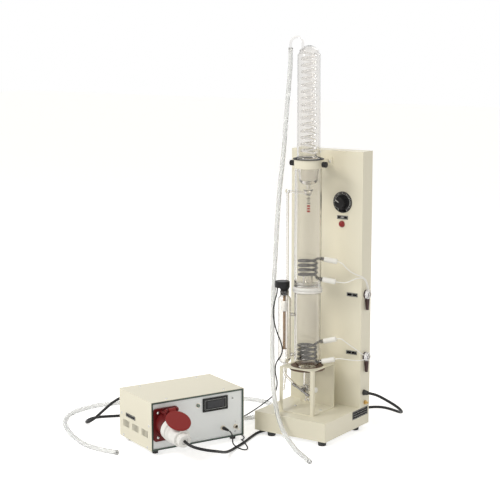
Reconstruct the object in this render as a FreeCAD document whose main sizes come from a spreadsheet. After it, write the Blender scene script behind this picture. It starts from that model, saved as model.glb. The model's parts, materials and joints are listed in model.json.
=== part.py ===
import FreeCAD, Part
import Sketcher
import math
import os
import re
from types import SimpleNamespace

os.makedirs("parts", exist_ok=True)
document = FreeCAD.newDocument("water_distiller")
sheet = document.addObject("Spreadsheet::Sheet", "sizes")

# Driving sizes, in millimetres, degrees and counts
SIZES = {
    # sheet-metal stand
    "base_width": 222, "base_depth": 233, "base_height": 51, "base_corner": 3,
    "sheet_wall": 1.5, "seam_gap": 0.3, "overrun": 5,
    "foot_height": 12, "foot_radius": 12, "foot_top_radius": 10.5,
    "foot_right": 94, "foot_left": 64, "foot_front": 103.5, "foot_back": 68,
    "column_depth": 51, "column_top": 758, "column_wall": 1.2,
    "cover_lip": 6,
    # tray that carries the boiler
    "bracket_width": 106, "bracket_depth": 109, "bracket_height": 123, "bracket_sheet": 2,
    "post_front": 10, "post_side": 8, "bracket_hole_radius": 44,
    "screw_radius": 2, "screw_head_radius": 3.6, "screw_head_height": 2, "screw_length": 6,
    "bracket_screw_spread": 40, "bracket_screw_back": 6,
    # glass column
    "glass_x": -4, "glass_y": -22, "glass_wall": 2.2, "glass_gap": 0.3,
    "boiler_radius": 35, "boiler_bottom": 178, "boiler_top": 392,
    "neck_radius": 9.5, "neck_bottom": 131,
    "seat_outer": 48, "seat_inner": 27, "seat_thickness": 8,
    "vessel_radius": 36, "vessel_top": 740, "vessel_floor": 408,
    "flange_radius": 39.5, "flange_thickness": 6, "vapour_radius": 13, "vapour_height": 26,
    "jacket_radius": 30.5, "jacket_foot": 34, "jacket_shoulder": 1009,
    "head_radius": 25.5, "head_top": 1036, "cone_radius": 24, "cone_bottom": 684,
    "drip_bottom": 662,
    "drip_radius": 5,
    "coil_radius": 18, "coil_tube": 7, "coil_pitch": 17, "coil_turns": 15, "coil_bottom": 757,
    "coil_bend": 8, "coil_inlet": 52, "hook_reach": 57, "hook_rise": 1038, "hook_end": 1014,
    # clamp round the neck of the upper vessel
    "collar_inner": 36.5, "collar_outer": 38, "collar_bottom": 717, "collar_height": 22.5,
    "arm_width": 20, "arm_depth": 14, "arm_flange_width": 44, "arm_flange_sheet": 3,
    "arm_screw_spread": 14,
    "gasket_outer": 41, "gasket_thickness": 2.5,
    "thumb_knob_radius": 7.5, "thumb_knob_length": 12, "thumb_thread_radius": 2,
    "thumb_boss": 42, "thumb_boss_radius": 5, "thumb_tip_gap": 0.3, "thumb_thread_length": 8.5,
    "thumb_knob_start": 43.5, "running_gap": 0.06,
    # heaters
    "heater_radius": 24.2, "heater_tube": 6.6, "heater_turns": 4, "heater_pitch": 12.3,
    "upper_heater_bottom": 426.5, "lower_heater_bottom": 197, "heater_bend": 10,
    "heater_angle": 20, "lower_leg_rise": 13, "upper_leg_rise": -8,
    "port_radius": 5.6, "port_end": 17, "port_bore": 4.2, "leg_end": 26,
    "sleeve_radius": 7, "sleeve_start": 18, "sleeve_end": 54, "sleeve_cavity": 4.2,
    # distillate arm
    "arm_tube_radius": 4, "arm_tube_bore": 2.6, "arm_height": 650, "arm_x": -74.8, "arm_y": -11.9,
    "arm_bulb_radius": 6.5, "arm_bend": 6, "cup_radius": 13, "cup_height": 10, "cup_stem": 6,
    "arm_low": 185, "tip_x": -62.4, "tip_y": -50, "tip_height": 113,
    # level chamber and float
    "chamber_x": -64.5, "chamber_y": -41.9, "chamber_radius": 18, "chamber_wall": 1.8,
    "chamber_top": 372, "chamber_shoulder": 360, "chamber_neck": 12, "chamber_neck_top": 386,
    "chamber_cone_top": 202, "chamber_bottom": 186, "link_radius": 4,
    "bridge_radius": 4.5, "bridge_bore": 2.8, "upper_bridge": 322, "lower_bridge": 212,
    "head_cap_radius": 20, "head_cap_height": 17, "head_cap_bottom": 395, "head_cap_shift": 6,
    "head_cone_height": 9, "head_cone_radius": 9.5, "head_plug_depth": 12,
    "stem_radius": 3.75, "stem_bottom": 226, "stem_stop_radius": 6.5, "stem_stop_height": 3,
    "float_radius": 9, "float_length": 28, "float_bottom": 330,
    # drain stopcock
    "cock_height": 120, "barrel_radius": 8, "barrel_front": 14, "barrel_back": 14,
    "key_radius": 4.5, "key_head_radius": 7, "key_head_length": 5, "key_proud": 12,
    "lever_radius": 2.6, "lever_length": 58, "lever_offset": 33, "lever_slope": 27,
    "nut_radius": 7, "nut_length": 10, "nut_start": 20,
    "outlet_radius": 4.5, "outlet_bore": 2.8, "outlet_bottom": 88, "outlet_lip": 6.5,
    "link_meet": 15, "link_meet_radius": 5.5, "link_drop": 36, "link_straight": 14,
    # controls on the column
    "dial_x": 50, "dial_height": 621, "dial_radius": 28.5, "dial_thickness": 1.5,
    "knob_radius": 19, "knob_skirt_radius": 20.5, "knob_skirt": 4, "knob_length": 17,
    "shaft_radius": 3, "shaft_room": 1, "shaft_length": 20, "module_width": 46,
    "module_depth": 30,
    "lamp_x": 48, "lamp_height": 562, "lamp_radius": 9.3, "lamp_bezel": 3,
    "lamp_barrel_radius": 6.5,
    "lamp_barrel": 24,
    "plate_width": 33, "plate_height": 10, "plate_thickness": 0.8,
    "heater_plate_x": 82.5, "upper_plate_height": 373, "lower_plate_height": 214,
    "dial_plate_height": 580, "rating_width": 82, "rating_height": 22, "rating_middle": 50,
    "rating_back": 66,
    "socket_y": 88, "upper_socket": 374, "lower_socket": 203, "socket_radius": 9,
    "socket_reach": 4, "socket_behind": 22,
    "tail_drop": 30, "tail_width": 12, "tail_tip": 8,
    "plug_radius": 12, "plug_reach": 15, "plug_cap": 2.4, "plug_waist": 9,
    "grommet_y": 84.4, "grommet_height": 103, "grommet_radius": 8, "grommet_tip": 5.2,
    "grommet_reach": 14,
    "earth_y": 91, "earth_height": 74, "earth_radius": 2.5, "earth_nut": 6, "earth_reach": 11,
    # control box
    "control_x": -242.9, "control_y": -265.6, "control_turn": 66.4,
    "control_width": 278, "control_depth": 177, "control_height": 128.5,
    "control_wall": 1.2, "panel_recess": 3, "panel_sheet": 1.5, "tray_lip": 8,
    "control_foot_radius": 8.5, "control_foot_inset": 22, "trim_width": 4,
    "cover_screw_across": 86, "cover_screw_back": 72.5, "side_screw_back": 66,
    "side_screw_up": 6, "side_screw_rise": 58,
    "louvre_slot": 3.4, "louvre_pitch": 7, "louvre_length": 18, "louvre_middle": 52,
    "louvre_count": 5, "louvre_group_pitch": 51,
    "socket_edge": 41.5, "socket_x": "=socket_edge - control_width / 2", "socket_height": 80,
    "socket_flange_width": 69, "socket_flange_height": 86,
    "socket_flange": 6, "socket_corner": 6, "socket_axis": 84, "socket_body_radius": 30.5,
    "socket_bore": 26, "socket_length": 31, "socket_tilt": 14, "socket_screw_across": 23.5,
    "socket_screw_up": 32.5,
    "lid_radius": 33, "lid_thickness": 6, "lid_hinge_out": 36.3, "lid_hinge_height": 124.5,
    "lid_slope": 32, "lid_middle": 39, "lid_arm": 12, "lid_pin_radius": 2, "lid_pin_length": 30,
    "lid_ear": 5, "lid_ear_radius": 5,
    "meter_edge": 87.5, "meter_x": "=control_width / 2 - meter_edge", "meter_height": 110,
    "meter_width": 75, "meter_tall": 36, "meter_reach": 4,
    "meter_body_depth": 45, "meter_lip": 2, "socket_hole": 25, "socket_behind_depth": 30,
    "button_edge": 139, "button_x": "=control_width / 2 - button_edge", "button_height": 112.5,
    "button_radius": 4.5, "button_reach": 5, "button_collar": 6.5,
    "button_stem": 2, "button_travel": 1.5, "button_case": 18,
    "led_edge": 34, "led_x": "=control_width / 2 - led_edge", "led_height": 117, "led_radius": 2.5,
    "led_reach": 2.5,
    "jack_edge": 64, "jack_x": "=control_width / 2 - jack_edge", "jack_height": 41,
    "jack_radius": 7, "jack_reach": 5, "jack_barrel": 4.5,
    "jack_bore": 2.5, "jack_behind": 16, "jack_plug_radius": 5, "jack_plug_length": 22,
    "toggle_edge": 25.5, "toggle_x": "=control_width / 2 - toggle_edge", "toggle_height": 39,
    "toggle_radius": 7, "toggle_reach": 7,
    "toggle_barrel": 5, "toggle_behind": 18, "toggle_case_width": 13, "toggle_case_height": 20,
    "toggle_pin": 0.8, "toggle_pivot": 3,
    "toggle_lever_radius": 2.2, "toggle_lever_length": 22, "toggle_slope": 12, "toggle_ball": 3,
    "gland_edge": 47, "gland_x": "=gland_edge - control_width / 2", "gland_height": 98,
    "gland_radius": 9, "gland_reach": 16, "gland_tip": 5.4,
    "hose_port_height": 28, "hose_port_radius": 8, "hose_port_y": 0, "hose_port_reach": 17,
    # plugs and cords
    "supply_cord": 7.5, "sensor_cord": 3.5, "mains_cord": 7.5, "hose_radius": 6.25,
    "hose_bore": 4.25,
    "lead_radius": 1.3,
    "power_plug_nose": 25.5, "power_plug_nose_start": 9, "power_plug_start": 33,
    "power_plug_ring": 30.8, "power_plug_ring_end": 49.5, "power_plug_neck": 23.5,
    "power_plug_end": 90,
    "power_gland_radius": 18, "power_gland_end": 106, "power_gland_bore": 9,
    "mains_coil_x": -440, "mains_coil_y": -100, "mains_coil_radius": 41, "mains_coil_pitch": 8.4,
    "mains_coil_turns": 4.5, "mains_plug_x": -385, "mains_plug_y": -222, "mains_plug_radius": 18,
    "mains_plug_length": 34, "mains_plug_tail": 14, "mains_tail_radius": 6,
    "mains_pin_radius": 2.4, "mains_pin_length": 19, "mains_pin_spread": 9.5,
}

for row, (alias, amount) in enumerate(SIZES.items(), start=1):
    sheet.set(f"A{row}", alias)
    sheet.set(f"B{row}", str(amount))
    sheet.setAlias(f"B{row}", alias)
document.recompute()
s = SimpleNamespace(**{alias: float(sheet.get(alias)) for alias in SIZES})

parts = []
QUARTER = (math.sqrt(2) - 1) / 2 * math.sqrt(2)
UP = FreeCAD.Vector(0, 0, 1)
FULL_TURN = math.degrees(math.tau)


def vector(x, y, z):
    return FreeCAD.Vector(x, y, z)


def bound(expression):
    """The expression with each size's name pointing at the sheet."""
    return re.sub(r"[a-z][a-z_]*", lambda m: "sizes." + m[0] if m[0] in SIZES else m[0], str(expression))


def bind(item, **expressions):
    for name, expression in expressions.items():
        item.setExpression(name.replace("__", "."), bound(str(expression)))
    return item


def move(item, x="0", y="0", z="0"):
    return bind(item, Placement__Base__x=x, Placement__Base__y=y, Placement__Base__z=z)


def block(length, width, height, x, y, z):
    item = document.addObject("Part::Box", "block")
    return move(bind(item, Length=length, Width=width, Height=height), x, y, z)


def rod(radius, height, x, y, z, axis=UP):
    item = document.addObject("Part::Cylinder", "rod")
    item.Placement = FreeCAD.Placement(vector(0, 0, 0), FreeCAD.Rotation(UP, axis))
    return move(bind(item, Radius=radius, Height=height), x, y, z)


def cone(radius, end_radius, height, x, y, z, axis=UP):
    item = document.addObject("Part::Cone", "cone")
    item.Placement = FreeCAD.Placement(vector(0, 0, 0), FreeCAD.Rotation(UP, axis))
    return move(bind(item, Radius1=radius, Radius2=end_radius, Height=height), x, y, z)


def cut(base, tools):
    for tool in tools:
        result = document.addObject("Part::Cut", "cut")
        result.Base, result.Tool = base, tool
        base = result
    return base


def joined(pieces):
    result = document.addObject("Part::MultiFuse", "joined")
    result.Shapes = pieces
    return result


def group(pieces):
    result = document.addObject("Part::Compound", "group")
    result.Links = pieces
    return result


def rounded(base, radius, wanted):
    """A fillet of that radius along the edges whose middle answers to wanted."""
    document.recompute()
    result = document.addObject("Part::Fillet", "rounded")
    result.Base = base
    result.Edges = [
        (number, radius, radius)
        for number, edge in enumerate(base.Shape.Edges, start=1)
        if wanted(edge.CenterOfMass, edge)
    ]
    return result


def round_edge(edge):
    return type(edge.Curve).__name__ == "Circle"


def formed(shape):
    """A piece whose shape is made by functions of its own."""
    result = document.addObject("Part::Feature", "formed")
    result.Shape = shape
    return result


def placed(item, placement):
    """Set the item in its frame, on top of any shift that its shape already has."""
    item.Placement = placement.multiply(item.Placement)
    return item


def add(label, item, placement=FreeCAD.Placement()):
    item.Label = label
    parts.append(placed(item, placement))


# Sketches on a body's own planes, with every line held by sizes


def body(name):
    return document.addObject("PartDesign::Body", name)


def sketch_on(owner, plane, offset=None):
    sketch = owner.newObject("Sketcher::SketchObject", "sketch")
    role = next(feature for feature in owner.Origin.OriginFeatures if feature.Role == plane)
    sketch.AttachmentSupport = [(role, "")]
    sketch.MapMode = "FlatFace"
    if offset:
        sketch.setExpression("AttachmentOffset.Base.z", bound(offset))
    return sketch


def rectangle(sketch, left, bottom, right, top):
    """A rectangle whose four sides are held by expressions."""
    first = sketch.GeometryCount
    corners = [vector(0, 0, 0), vector(1, 0, 0), vector(1, 1, 0), vector(0, 1, 0)]
    for k in range(4):
        sketch.addGeometry(Part.LineSegment(corners[k], corners[(k + 1) % 4]))
    for k in range(4):
        sketch.addConstraint(
            Sketcher.Constraint("Coincident", first + k, 2, first + (k + 1) % 4, 1)
        )
    for k, kind in enumerate(("Horizontal", "Vertical", "Horizontal", "Vertical")):
        sketch.addConstraint(Sketcher.Constraint(kind, first + k))
    for kind, line, expression in (
        ("DistanceX", 0, left),
        ("DistanceY", 0, bottom),
        ("DistanceX", 2, right),
        ("DistanceY", 2, top),
    ):
        number = sketch.addConstraint(Sketcher.Constraint(kind, -1, 1, first + line, 1, 1.0))
        sketch.setExpression(f"Constraints[{number}]", bound(expression))


def circle(sketch, radius, x, y):
    first = sketch.GeometryCount
    sketch.addGeometry(Part.Circle(vector(0, 0, 0), UP, 1))
    for kind, expression in (("DistanceX", x), ("DistanceY", y)):
        number = sketch.addConstraint(Sketcher.Constraint(kind, -1, 1, first, 3, 1.0))
        sketch.setExpression(f"Constraints[{number}]", bound(expression))
    number = sketch.addConstraint(Sketcher.Constraint("Radius", first, 1.0))
    sketch.setExpression(f"Constraints[{number}]", bound(radius))


def pad(owner, sketch, length):
    feature = owner.newObject("PartDesign::Pad", "pad")
    feature.Profile = sketch
    feature.setExpression("Length", bound(length))
    return feature


def pocket(owner, sketch, length=None, reverse=False, both=False):
    feature = owner.newObject("PartDesign::Pocket", "pocket")
    feature.Profile = sketch
    feature.Reversed = reverse
    if both:
        feature.Type = "ThroughAll"
        feature.Midplane = True
    else:
        feature.setExpression("Length", bound(length))
    return feature


# Shapes that follow a route


def tube_path(points, share=0.45, limit=None):
    """Straight runs through the points, joined by tangent arcs, with the tightest radius."""
    edges, begin, tightest = [], points[0], None
    for k in range(1, len(points) - 1):
        before, corner, after = points[k - 1], points[k], points[k + 1]
        come, go = corner - before, after - corner
        turning = come.getAngle(go)
        reach = share * min(come.Length, go.Length)
        if limit:
            reach = min(reach, limit)
        radius = reach / math.tan(turning / 2)
        tightest = radius if tightest is None else min(tightest, radius)
        come.normalize()
        go.normalize()
        start, end = corner - come * reach, corner + go * reach
        middle = (go - come).normalize()
        apex = corner + middle * (radius / math.cos(turning / 2) - radius)
        edges += [Part.LineSegment(begin, start).toShape(), Part.Arc(start, apex, end).toShape()]
        begin = end
    edges.append(Part.LineSegment(begin, points[-1]).toShape())
    return edges, tightest


def swept(edges, radius):
    """One round tube along the edges."""
    path = Part.Wire(edges)
    first = edges[0]
    tangent = first.tangentAt(first.FirstParameter)
    section = Part.Wire([Part.makeCircle(radius, first.valueAt(first.FirstParameter), tangent)])
    shell = Part.BRepOffsetAPI.MakePipeShell(path)
    shell.add(section)
    shell.build()
    shell.makeSolid()
    return shell.shape()


def routed(name, points, radius):
    """A cord or a tube through the points, its size checked against section and length."""
    edges, tightest = tube_path([vector(*point) for point in points])
    shape = swept(edges, radius)
    length = sum(edge.Length for edge in edges)
    filled = shape.Volume / (math.pi * radius * radius * length)
    print(f"{name}: length {length:.0f}, tightest bend {tightest:.1f}, filled {filled:.3f}")
    return shape


def turned_shape(profile):
    """A solid of revolution about the Z axis. A point with a third value ends an arc that bulges by
    it to the left of the way it goes."""
    edges = []
    for here, there in zip(profile, profile[1:] + profile[:1]):
        start, end = vector(here[0], 0, here[1]), vector(there[0], 0, there[1])
        if len(there) == 3:
            way = end - start
            side = vector(-way.z, 0, way.x).normalize()
            edges.append(Part.Arc(start, (start + end) / 2 + side * there[2], end).toShape())
        else:
            edges.append(Part.LineSegment(start, end).toShape())
    face = Part.Face(Part.Wire(edges))
    return face.revolve(vector(0, 0, 0), UP, FULL_TURN)


def shifted(shape, x, y, z=0):
    shape.translate(vector(x, y, z))
    return shape


def helix_points(radius, pitch, bottom, start, turns, hand=1):
    """Points and tangents a sixth of a turn apart. A hand of -1 turns the other way."""
    steps = round(turns * 6)
    points, tangents = [], []
    for k in range(steps + 1):
        angle = math.radians(start) + hand * 2 * math.pi * turns * k / steps
        points.append(
            vector(
                radius * math.cos(angle),
                radius * math.sin(angle),
                bottom + pitch * turns * k / steps,
            )
        )
        rise = pitch / (2 * math.pi)
        tangent = vector(-radius * math.sin(angle) * hand, radius * math.cos(angle) * hand, rise)
        tangents.append(tangent.normalize())
    return points, tangents


def biarc(start, start_way, end, end_way):
    """Two arcs that leave start and reach end along the given ways."""
    across = end - start
    both = start_way + end_way
    a = 2 * (1 - start_way.dot(end_way))
    b = 2 * across.dot(both)
    c = -across.dot(across)
    reach = (-b + math.sqrt(b * b - 4 * a * c)) / (2 * a)
    first, last = start + start_way * reach, end - end_way * reach
    middle = (first + last) / 2
    return [rounded_arc(start, first, middle), rounded_arc(middle, last, end)]


def rounded_arc(start, apex, end):
    """The arc tangent to the two lines that meet at the apex."""
    chord = (start + end) / 2
    half = (end - start).Length / 2
    down = apex - chord
    angle = math.atan2(down.Length, half)
    sagitta = half * math.tan(angle / 2)
    return Part.Arc(start, chord + down.normalize() * sagitta, end).toShape()


def bend(start, way, new_way, reach):
    """A bend from one way to another, and where it ends."""
    end = start + way * reach + new_way * reach
    return rounded_arc(start, start + way * reach, end), end


# Sheet-metal stand


def make_base_shell():
    shell = body("base_shell")
    outline = sketch_on(shell, "XY_Plane", "foot_height")
    rectangle(outline, "-base_width / 2", "-base_depth / 2", "base_width / 2", "base_depth / 2")
    solid = pad(shell, outline, "base_height")
    document.recompute()
    upright = [
        f"Edge{number}"
        for number, edge in enumerate(solid.Shape.Edges, start=1)
        if abs(edge.Vertexes[0].Z - edge.Vertexes[1].Z) > s.base_height / 2
    ]
    fillet = shell.newObject("PartDesign::Fillet", "corners")
    fillet.Base = (solid, upright)
    fillet.setExpression("Radius", bound("base_corner"))
    inside = sketch_on(shell, "XY_Plane", "foot_height")
    rectangle(
        inside,
        "-base_width / 2 + sheet_wall",
        "-base_depth / 2 + sheet_wall",
        "base_width / 2 - sheet_wall",
        "base_depth / 2 - sheet_wall",
    )
    pocket(shell, inside, "base_height - sheet_wall", reverse=True)
    add("base_shell", shell, STAND)


def make_base_bottom_plate():
    plate = block(
        "base_width - 2 * sheet_wall - 2 * seam_gap",
        "base_depth - 2 * sheet_wall - 2 * seam_gap",
        "sheet_wall",
        "-base_width / 2 + sheet_wall + seam_gap",
        "-base_depth / 2 + sheet_wall + seam_gap",
        "foot_height",
    )
    vent = block("base_width / 3", "sheet_wall * 3", "overrun * 2", "-base_width / 6", "0", "0")
    move(vent, "-base_width / 6", "0", "foot_height - overrun")
    add("base_bottom_plate", cut(plate, [vent]), STAND)


def base_feet():
    feet = [
        cone("foot_top_radius", "foot_radius", "foot_height", x, y, "0")
        for x in ("foot_right", "-foot_left")
        for y in ("foot_back", "-foot_front")
    ]
    return placed(group(feet), STAND)


def make_column_housing():
    column = body("column_housing")
    outline = sketch_on(column, "XY_Plane", "foot_height + base_height")
    rectangle(
        outline, "-base_width / 2", "base_depth / 2 - column_depth", "base_width / 2", "base_depth / 2"
    )
    pad(column, outline, "column_top - foot_height - base_height")
    inside = sketch_on(column, "XY_Plane", "foot_height + base_height + column_wall")
    rectangle(
        inside,
        "-base_width / 2 + column_wall",
        "base_depth / 2 - column_depth + column_wall",
        "base_width / 2 - column_wall",
        "base_depth / 2 + overrun",
    )
    hollow = "column_top - foot_height - base_height - 2 * column_wall"
    pocket(column, inside, hollow, reverse=True)
    front = sketch_on(column, "XZ_Plane", "-base_depth / 2 + column_depth - column_wall - overrun / 2")
    circle(front, "shaft_radius + shaft_room", "dial_x", "dial_height")
    circle(front, "lamp_barrel_radius + seam_gap", "lamp_x", "lamp_height")
    pocket(column, front, "overrun", reverse=True)
    side = sketch_on(column, "YZ_Plane", "base_width / 2 - overrun / 2")
    for height in ("upper_socket", "lower_socket"):
        circle(side, "socket_radius + seam_gap", "socket_y", height)
    circle(side, "grommet_tip + seam_gap", "grommet_y", "grommet_height")
    circle(side, "earth_radius + seam_gap", "earth_y", "earth_height")
    pocket(column, side, "overrun", reverse=True)
    add("column_housing", column, STAND)


def make_column_back_cover():
    plate = block(
        "base_width - 2 * column_wall - 2 * seam_gap",
        "column_wall",
        "column_top - foot_height - base_height - 2 * column_wall - 2 * seam_gap",
        "-base_width / 2 + column_wall + seam_gap",
        "base_depth / 2 - column_wall",
        "foot_height + base_height + column_wall + seam_gap",
    )
    add("column_back_cover", joined([plate, cover_flange("1"), cover_flange("-1")]), STAND)


def cover_flange(side):
    """A folded edge that stiffens the cover."""
    return block(
        "column_wall",
        "cover_lip",
        "column_top - foot_height - base_height - 2 * column_wall - 2 * seam_gap",
        f"{side} * (base_width / 2 - column_wall - seam_gap - column_wall / 2) - column_wall / 2",
        "base_depth / 2 - column_wall - cover_lip",
        "foot_height + base_height + column_wall + seam_gap",
    )


def screw(x, y, z, axis=UP, length="screw_length"):
    """A round head on a shank that goes the other way."""
    head = cone("screw_head_radius", "screw_head_radius * 0.6", "screw_head_height", x, y, z, axis)
    shank = rod("screw_radius", length, x, y, z, axis * -1)
    return joined([head, shank])


# Tray that carries the boiler


def make_boiler_bracket():
    floor = "(foot_height + base_height)"
    left = "glass_x - bracket_width / 2"
    front = "glass_y - bracket_depth / 2"
    outer = block("bracket_width", "bracket_depth", "bracket_height", left, front, floor)
    tall = "bracket_height - 2 * bracket_sheet"
    inside = block(
        "bracket_width - 2 * bracket_sheet",
        "bracket_depth - 2 * bracket_sheet",
        tall,
        f"{left} + bracket_sheet",
        f"{front} + bracket_sheet",
        f"{floor} + bracket_sheet",
    )
    sides = block(
        "bracket_width + 2 * overrun",
        "bracket_depth - post_side - bracket_sheet",
        tall,
        f"{left} - overrun",
        f"{front} + post_side",
        f"{floor} + bracket_sheet",
    )
    mouth = block(
        "bracket_width - 2 * post_front",
        "post_side",
        tall,
        f"{left} + post_front",
        f"{front} - overrun",
        f"{floor} + bracket_sheet",
    )
    hole = rod(
        "bracket_hole_radius", "overrun * 2", "glass_x", "glass_y", f"{floor} + bracket_height - overrun"
    )
    screw_holes = [
        rod(
            "screw_radius + seam_gap", "overrun", x, "glass_y + bracket_screw_back", f"{floor} - seam_gap"
        )
        for x in ("glass_x - bracket_screw_spread", "glass_x + bracket_screw_spread")
    ]
    add("boiler_bracket", cut(outer, [inside, sides, mouth, hole] + screw_holes), STAND)


def bracket_screws():
    level = "foot_height + base_height + bracket_sheet"
    screws = [
        screw(x, "glass_y + bracket_screw_back", level, length="bracket_sheet")
        for x in ("glass_x - bracket_screw_spread", "glass_x + bracket_screw_spread")
    ]
    return placed(group(screws), STAND)


def boiler_outline(grow):
    """The outside of the lower boiler's bottom and side, from its neck up."""
    neck, side = s.neck_radius + grow, s.boiler_radius + grow
    bottom = s.boiler_bottom - grow
    return neck, side, bottom


def make_boiler_seat_ring():
    neck, side, bottom = boiler_outline(s.glass_gap)
    top = s.foot_height + s.base_height + s.bracket_height - s.bracket_sheet
    ring = Part.makeCylinder(s.seat_outer, s.seat_thickness, vector(0, 0, top - s.seat_thickness))
    dome = dome_solid(neck, side, bottom)
    ring = ring.cut(dome)
    ring = ring.cut(
        Part.makeCylinder(s.seat_inner, s.seat_thickness * 2, vector(0, 0, top - s.seat_thickness * 1.5))
    )
    add("boiler_seat_ring", formed(shifted(ring, s.glass_x, s.glass_y)), STAND)


def dome_solid(neck, side, bottom):
    """A solid with the rounded bottom of the boiler, with straight neck and side."""
    swell = side - neck
    profile = [
        (0, s.neck_bottom),
        (neck, s.neck_bottom),
        (neck, bottom),
        (side, bottom + swell, -swell * QUARTER),
        (side, s.boiler_top),
        (0, s.boiler_top),
    ]
    return turned_shape(profile)


# Glass column


def heater_leg(bottom, rise, upper):
    """The corner of a heater leg and the way the leg leaves, measured from the glass axis."""
    points, tangents = helix_points(
        s.heater_radius, s.heater_pitch, bottom, s.heater_angle, s.heater_turns
    )
    end, way = (points[-1], tangents[-1]) if upper else (points[0], tangents[0] * -1)
    angle, lift = math.radians(s.heater_angle), math.radians(rise)
    out = vector(
        math.cos(angle) * math.cos(lift), math.sin(angle) * math.cos(lift), math.sin(lift)
    )
    return end + way * s.heater_bend, out


def lower_legs():
    return [heater_leg(s.lower_heater_bottom, s.lower_leg_rise, upper) for upper in (False, True)]


def upper_legs():
    return [heater_leg(s.upper_heater_bottom, s.upper_leg_rise, upper) for upper in (False, True)]


def along(corner, way, near, far, radius):
    return Part.makeCylinder(radius, far - near, corner + way * near, way)


def with_ports(glass, side, legs):
    """The side tubes that the heater legs leave through."""
    inner = Part.makeCylinder(side - s.glass_wall / 2, s.vessel_top)
    for corner, way in legs:
        glass = glass.fuse(along(corner, way, 0, s.port_end, s.port_radius).cut(inner))
        glass = glass.cut(along(corner, way, -s.heater_bend / 2, s.port_end * 2, s.port_bore))
    return glass


def bridge_way():
    return vector(s.chamber_x - s.glass_x, s.chamber_y - s.glass_y, 0).normalize()


def bridge_middle():
    """Where the two halves of a bridge tube meet, measured from the glass axis."""
    across = math.hypot(s.chamber_x - s.glass_x, s.chamber_y - s.glass_y)
    return (s.boiler_radius + across - s.chamber_radius) / 2


def make_lower_boiler():
    neck, side, bottom = boiler_outline(0)
    wall, top, rim = s.glass_wall, s.boiler_top, s.flange_radius
    swell = side - neck
    glass = turned_shape(
        [
            (neck, s.neck_bottom),
            (neck, bottom),
            (side, bottom + swell, -swell * QUARTER),
            (side, top - 1.5 * s.flange_thickness),
            (rim, top - s.flange_thickness * 0.75),
            (rim, top),
            (side - wall, top),
            (side - wall, bottom + swell),
            (neck, bottom + wall, (swell - wall) * QUARTER),
            (neck - wall, bottom + wall),
            (neck - wall, s.neck_bottom),
        ]
    )
    glass = with_ports(glass, side, lower_legs())
    inner = Part.makeCylinder(side - wall / 2, s.vessel_top)
    for height in (s.upper_bridge, s.lower_bridge):
        middle = bridge_middle() - s.glass_gap / 2
        tube = along(UP * height, bridge_way(), side / 2, middle, s.bridge_radius)
        glass = glass.fuse(tube.cut(inner))
        glass = glass.cut(along(UP * height, bridge_way(), side / 2, side * 2, s.bridge_bore))
    add("lower_boiler", formed(shifted(glass, s.glass_x, s.glass_y)), STAND)


def make_upper_boiler():
    wall, side, rim = s.glass_wall, s.vessel_radius, s.flange_radius
    base, floor = s.boiler_top + s.glass_gap, s.vessel_floor
    tube, tube_top = s.vapour_radius, s.vessel_floor + s.vapour_height
    corner = s.glass_wall * 3
    glass = turned_shape(
        [
            (tube - wall, floor - wall),
            (side - wall * 2, floor - wall),
            (side - wall, base),
            (rim, base),
            (rim, base + s.flange_thickness * 0.75),
            (side, base + 1.5 * s.flange_thickness),
            (side, s.vessel_top),
            (side - wall, s.vessel_top),
            (side - wall, floor + corner),
            (side - wall - corner, floor, corner * QUARTER),
            (tube, floor),
            (tube, tube_top),
            (tube - wall, tube_top),
        ]
    )
    glass = with_ports(glass, side, upper_legs())
    across = vector(s.arm_x - s.glass_x, s.arm_y - s.glass_y, 0).normalize()
    bore = s.arm_tube_radius + s.glass_gap
    glass = glass.cut(along(UP * s.arm_height, across, side / 2, side * 2, bore))
    add("upper_boiler", formed(shifted(glass, s.glass_x, s.glass_y)), STAND)


def make_distillate_tube():
    """Cup under the drip, arm out through the wall, and the long tube down to the open tip."""
    level, cup, stem, wall = s.arm_height, s.cup_radius, s.cup_stem, s.glass_wall
    rim = level + s.cup_height
    middle = vector(s.glass_x, s.glass_y, level)
    edges = tube_path(
        [
            middle,
            vector(s.arm_x, s.arm_y, level),
            vector(s.arm_x, s.arm_y, s.arm_low),
            vector(s.tip_x, s.tip_y, s.tip_height),
        ],
        limit=s.arm_bend,
    )[0]
    outside = turned_shape([(0, level - stem), (stem, level - stem), (cup, rim), (0, rim)])
    inside = turned_shape(
        [(0, level - stem + wall), (stem - wall, level - stem + wall), (cup - wall, rim), (0, rim)]
    )
    bulb = Part.makeSphere(s.arm_bulb_radius, vector(s.arm_x, s.arm_y, level))
    glass = shifted(outside, s.glass_x, s.glass_y).fuse(swept(edges, s.arm_tube_radius)).fuse(bulb)
    glass = glass.cut(shifted(inside, s.glass_x, s.glass_y)).cut(swept(edges, s.arm_tube_bore))
    add("distillate_tube", formed(glass), STAND)


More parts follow.
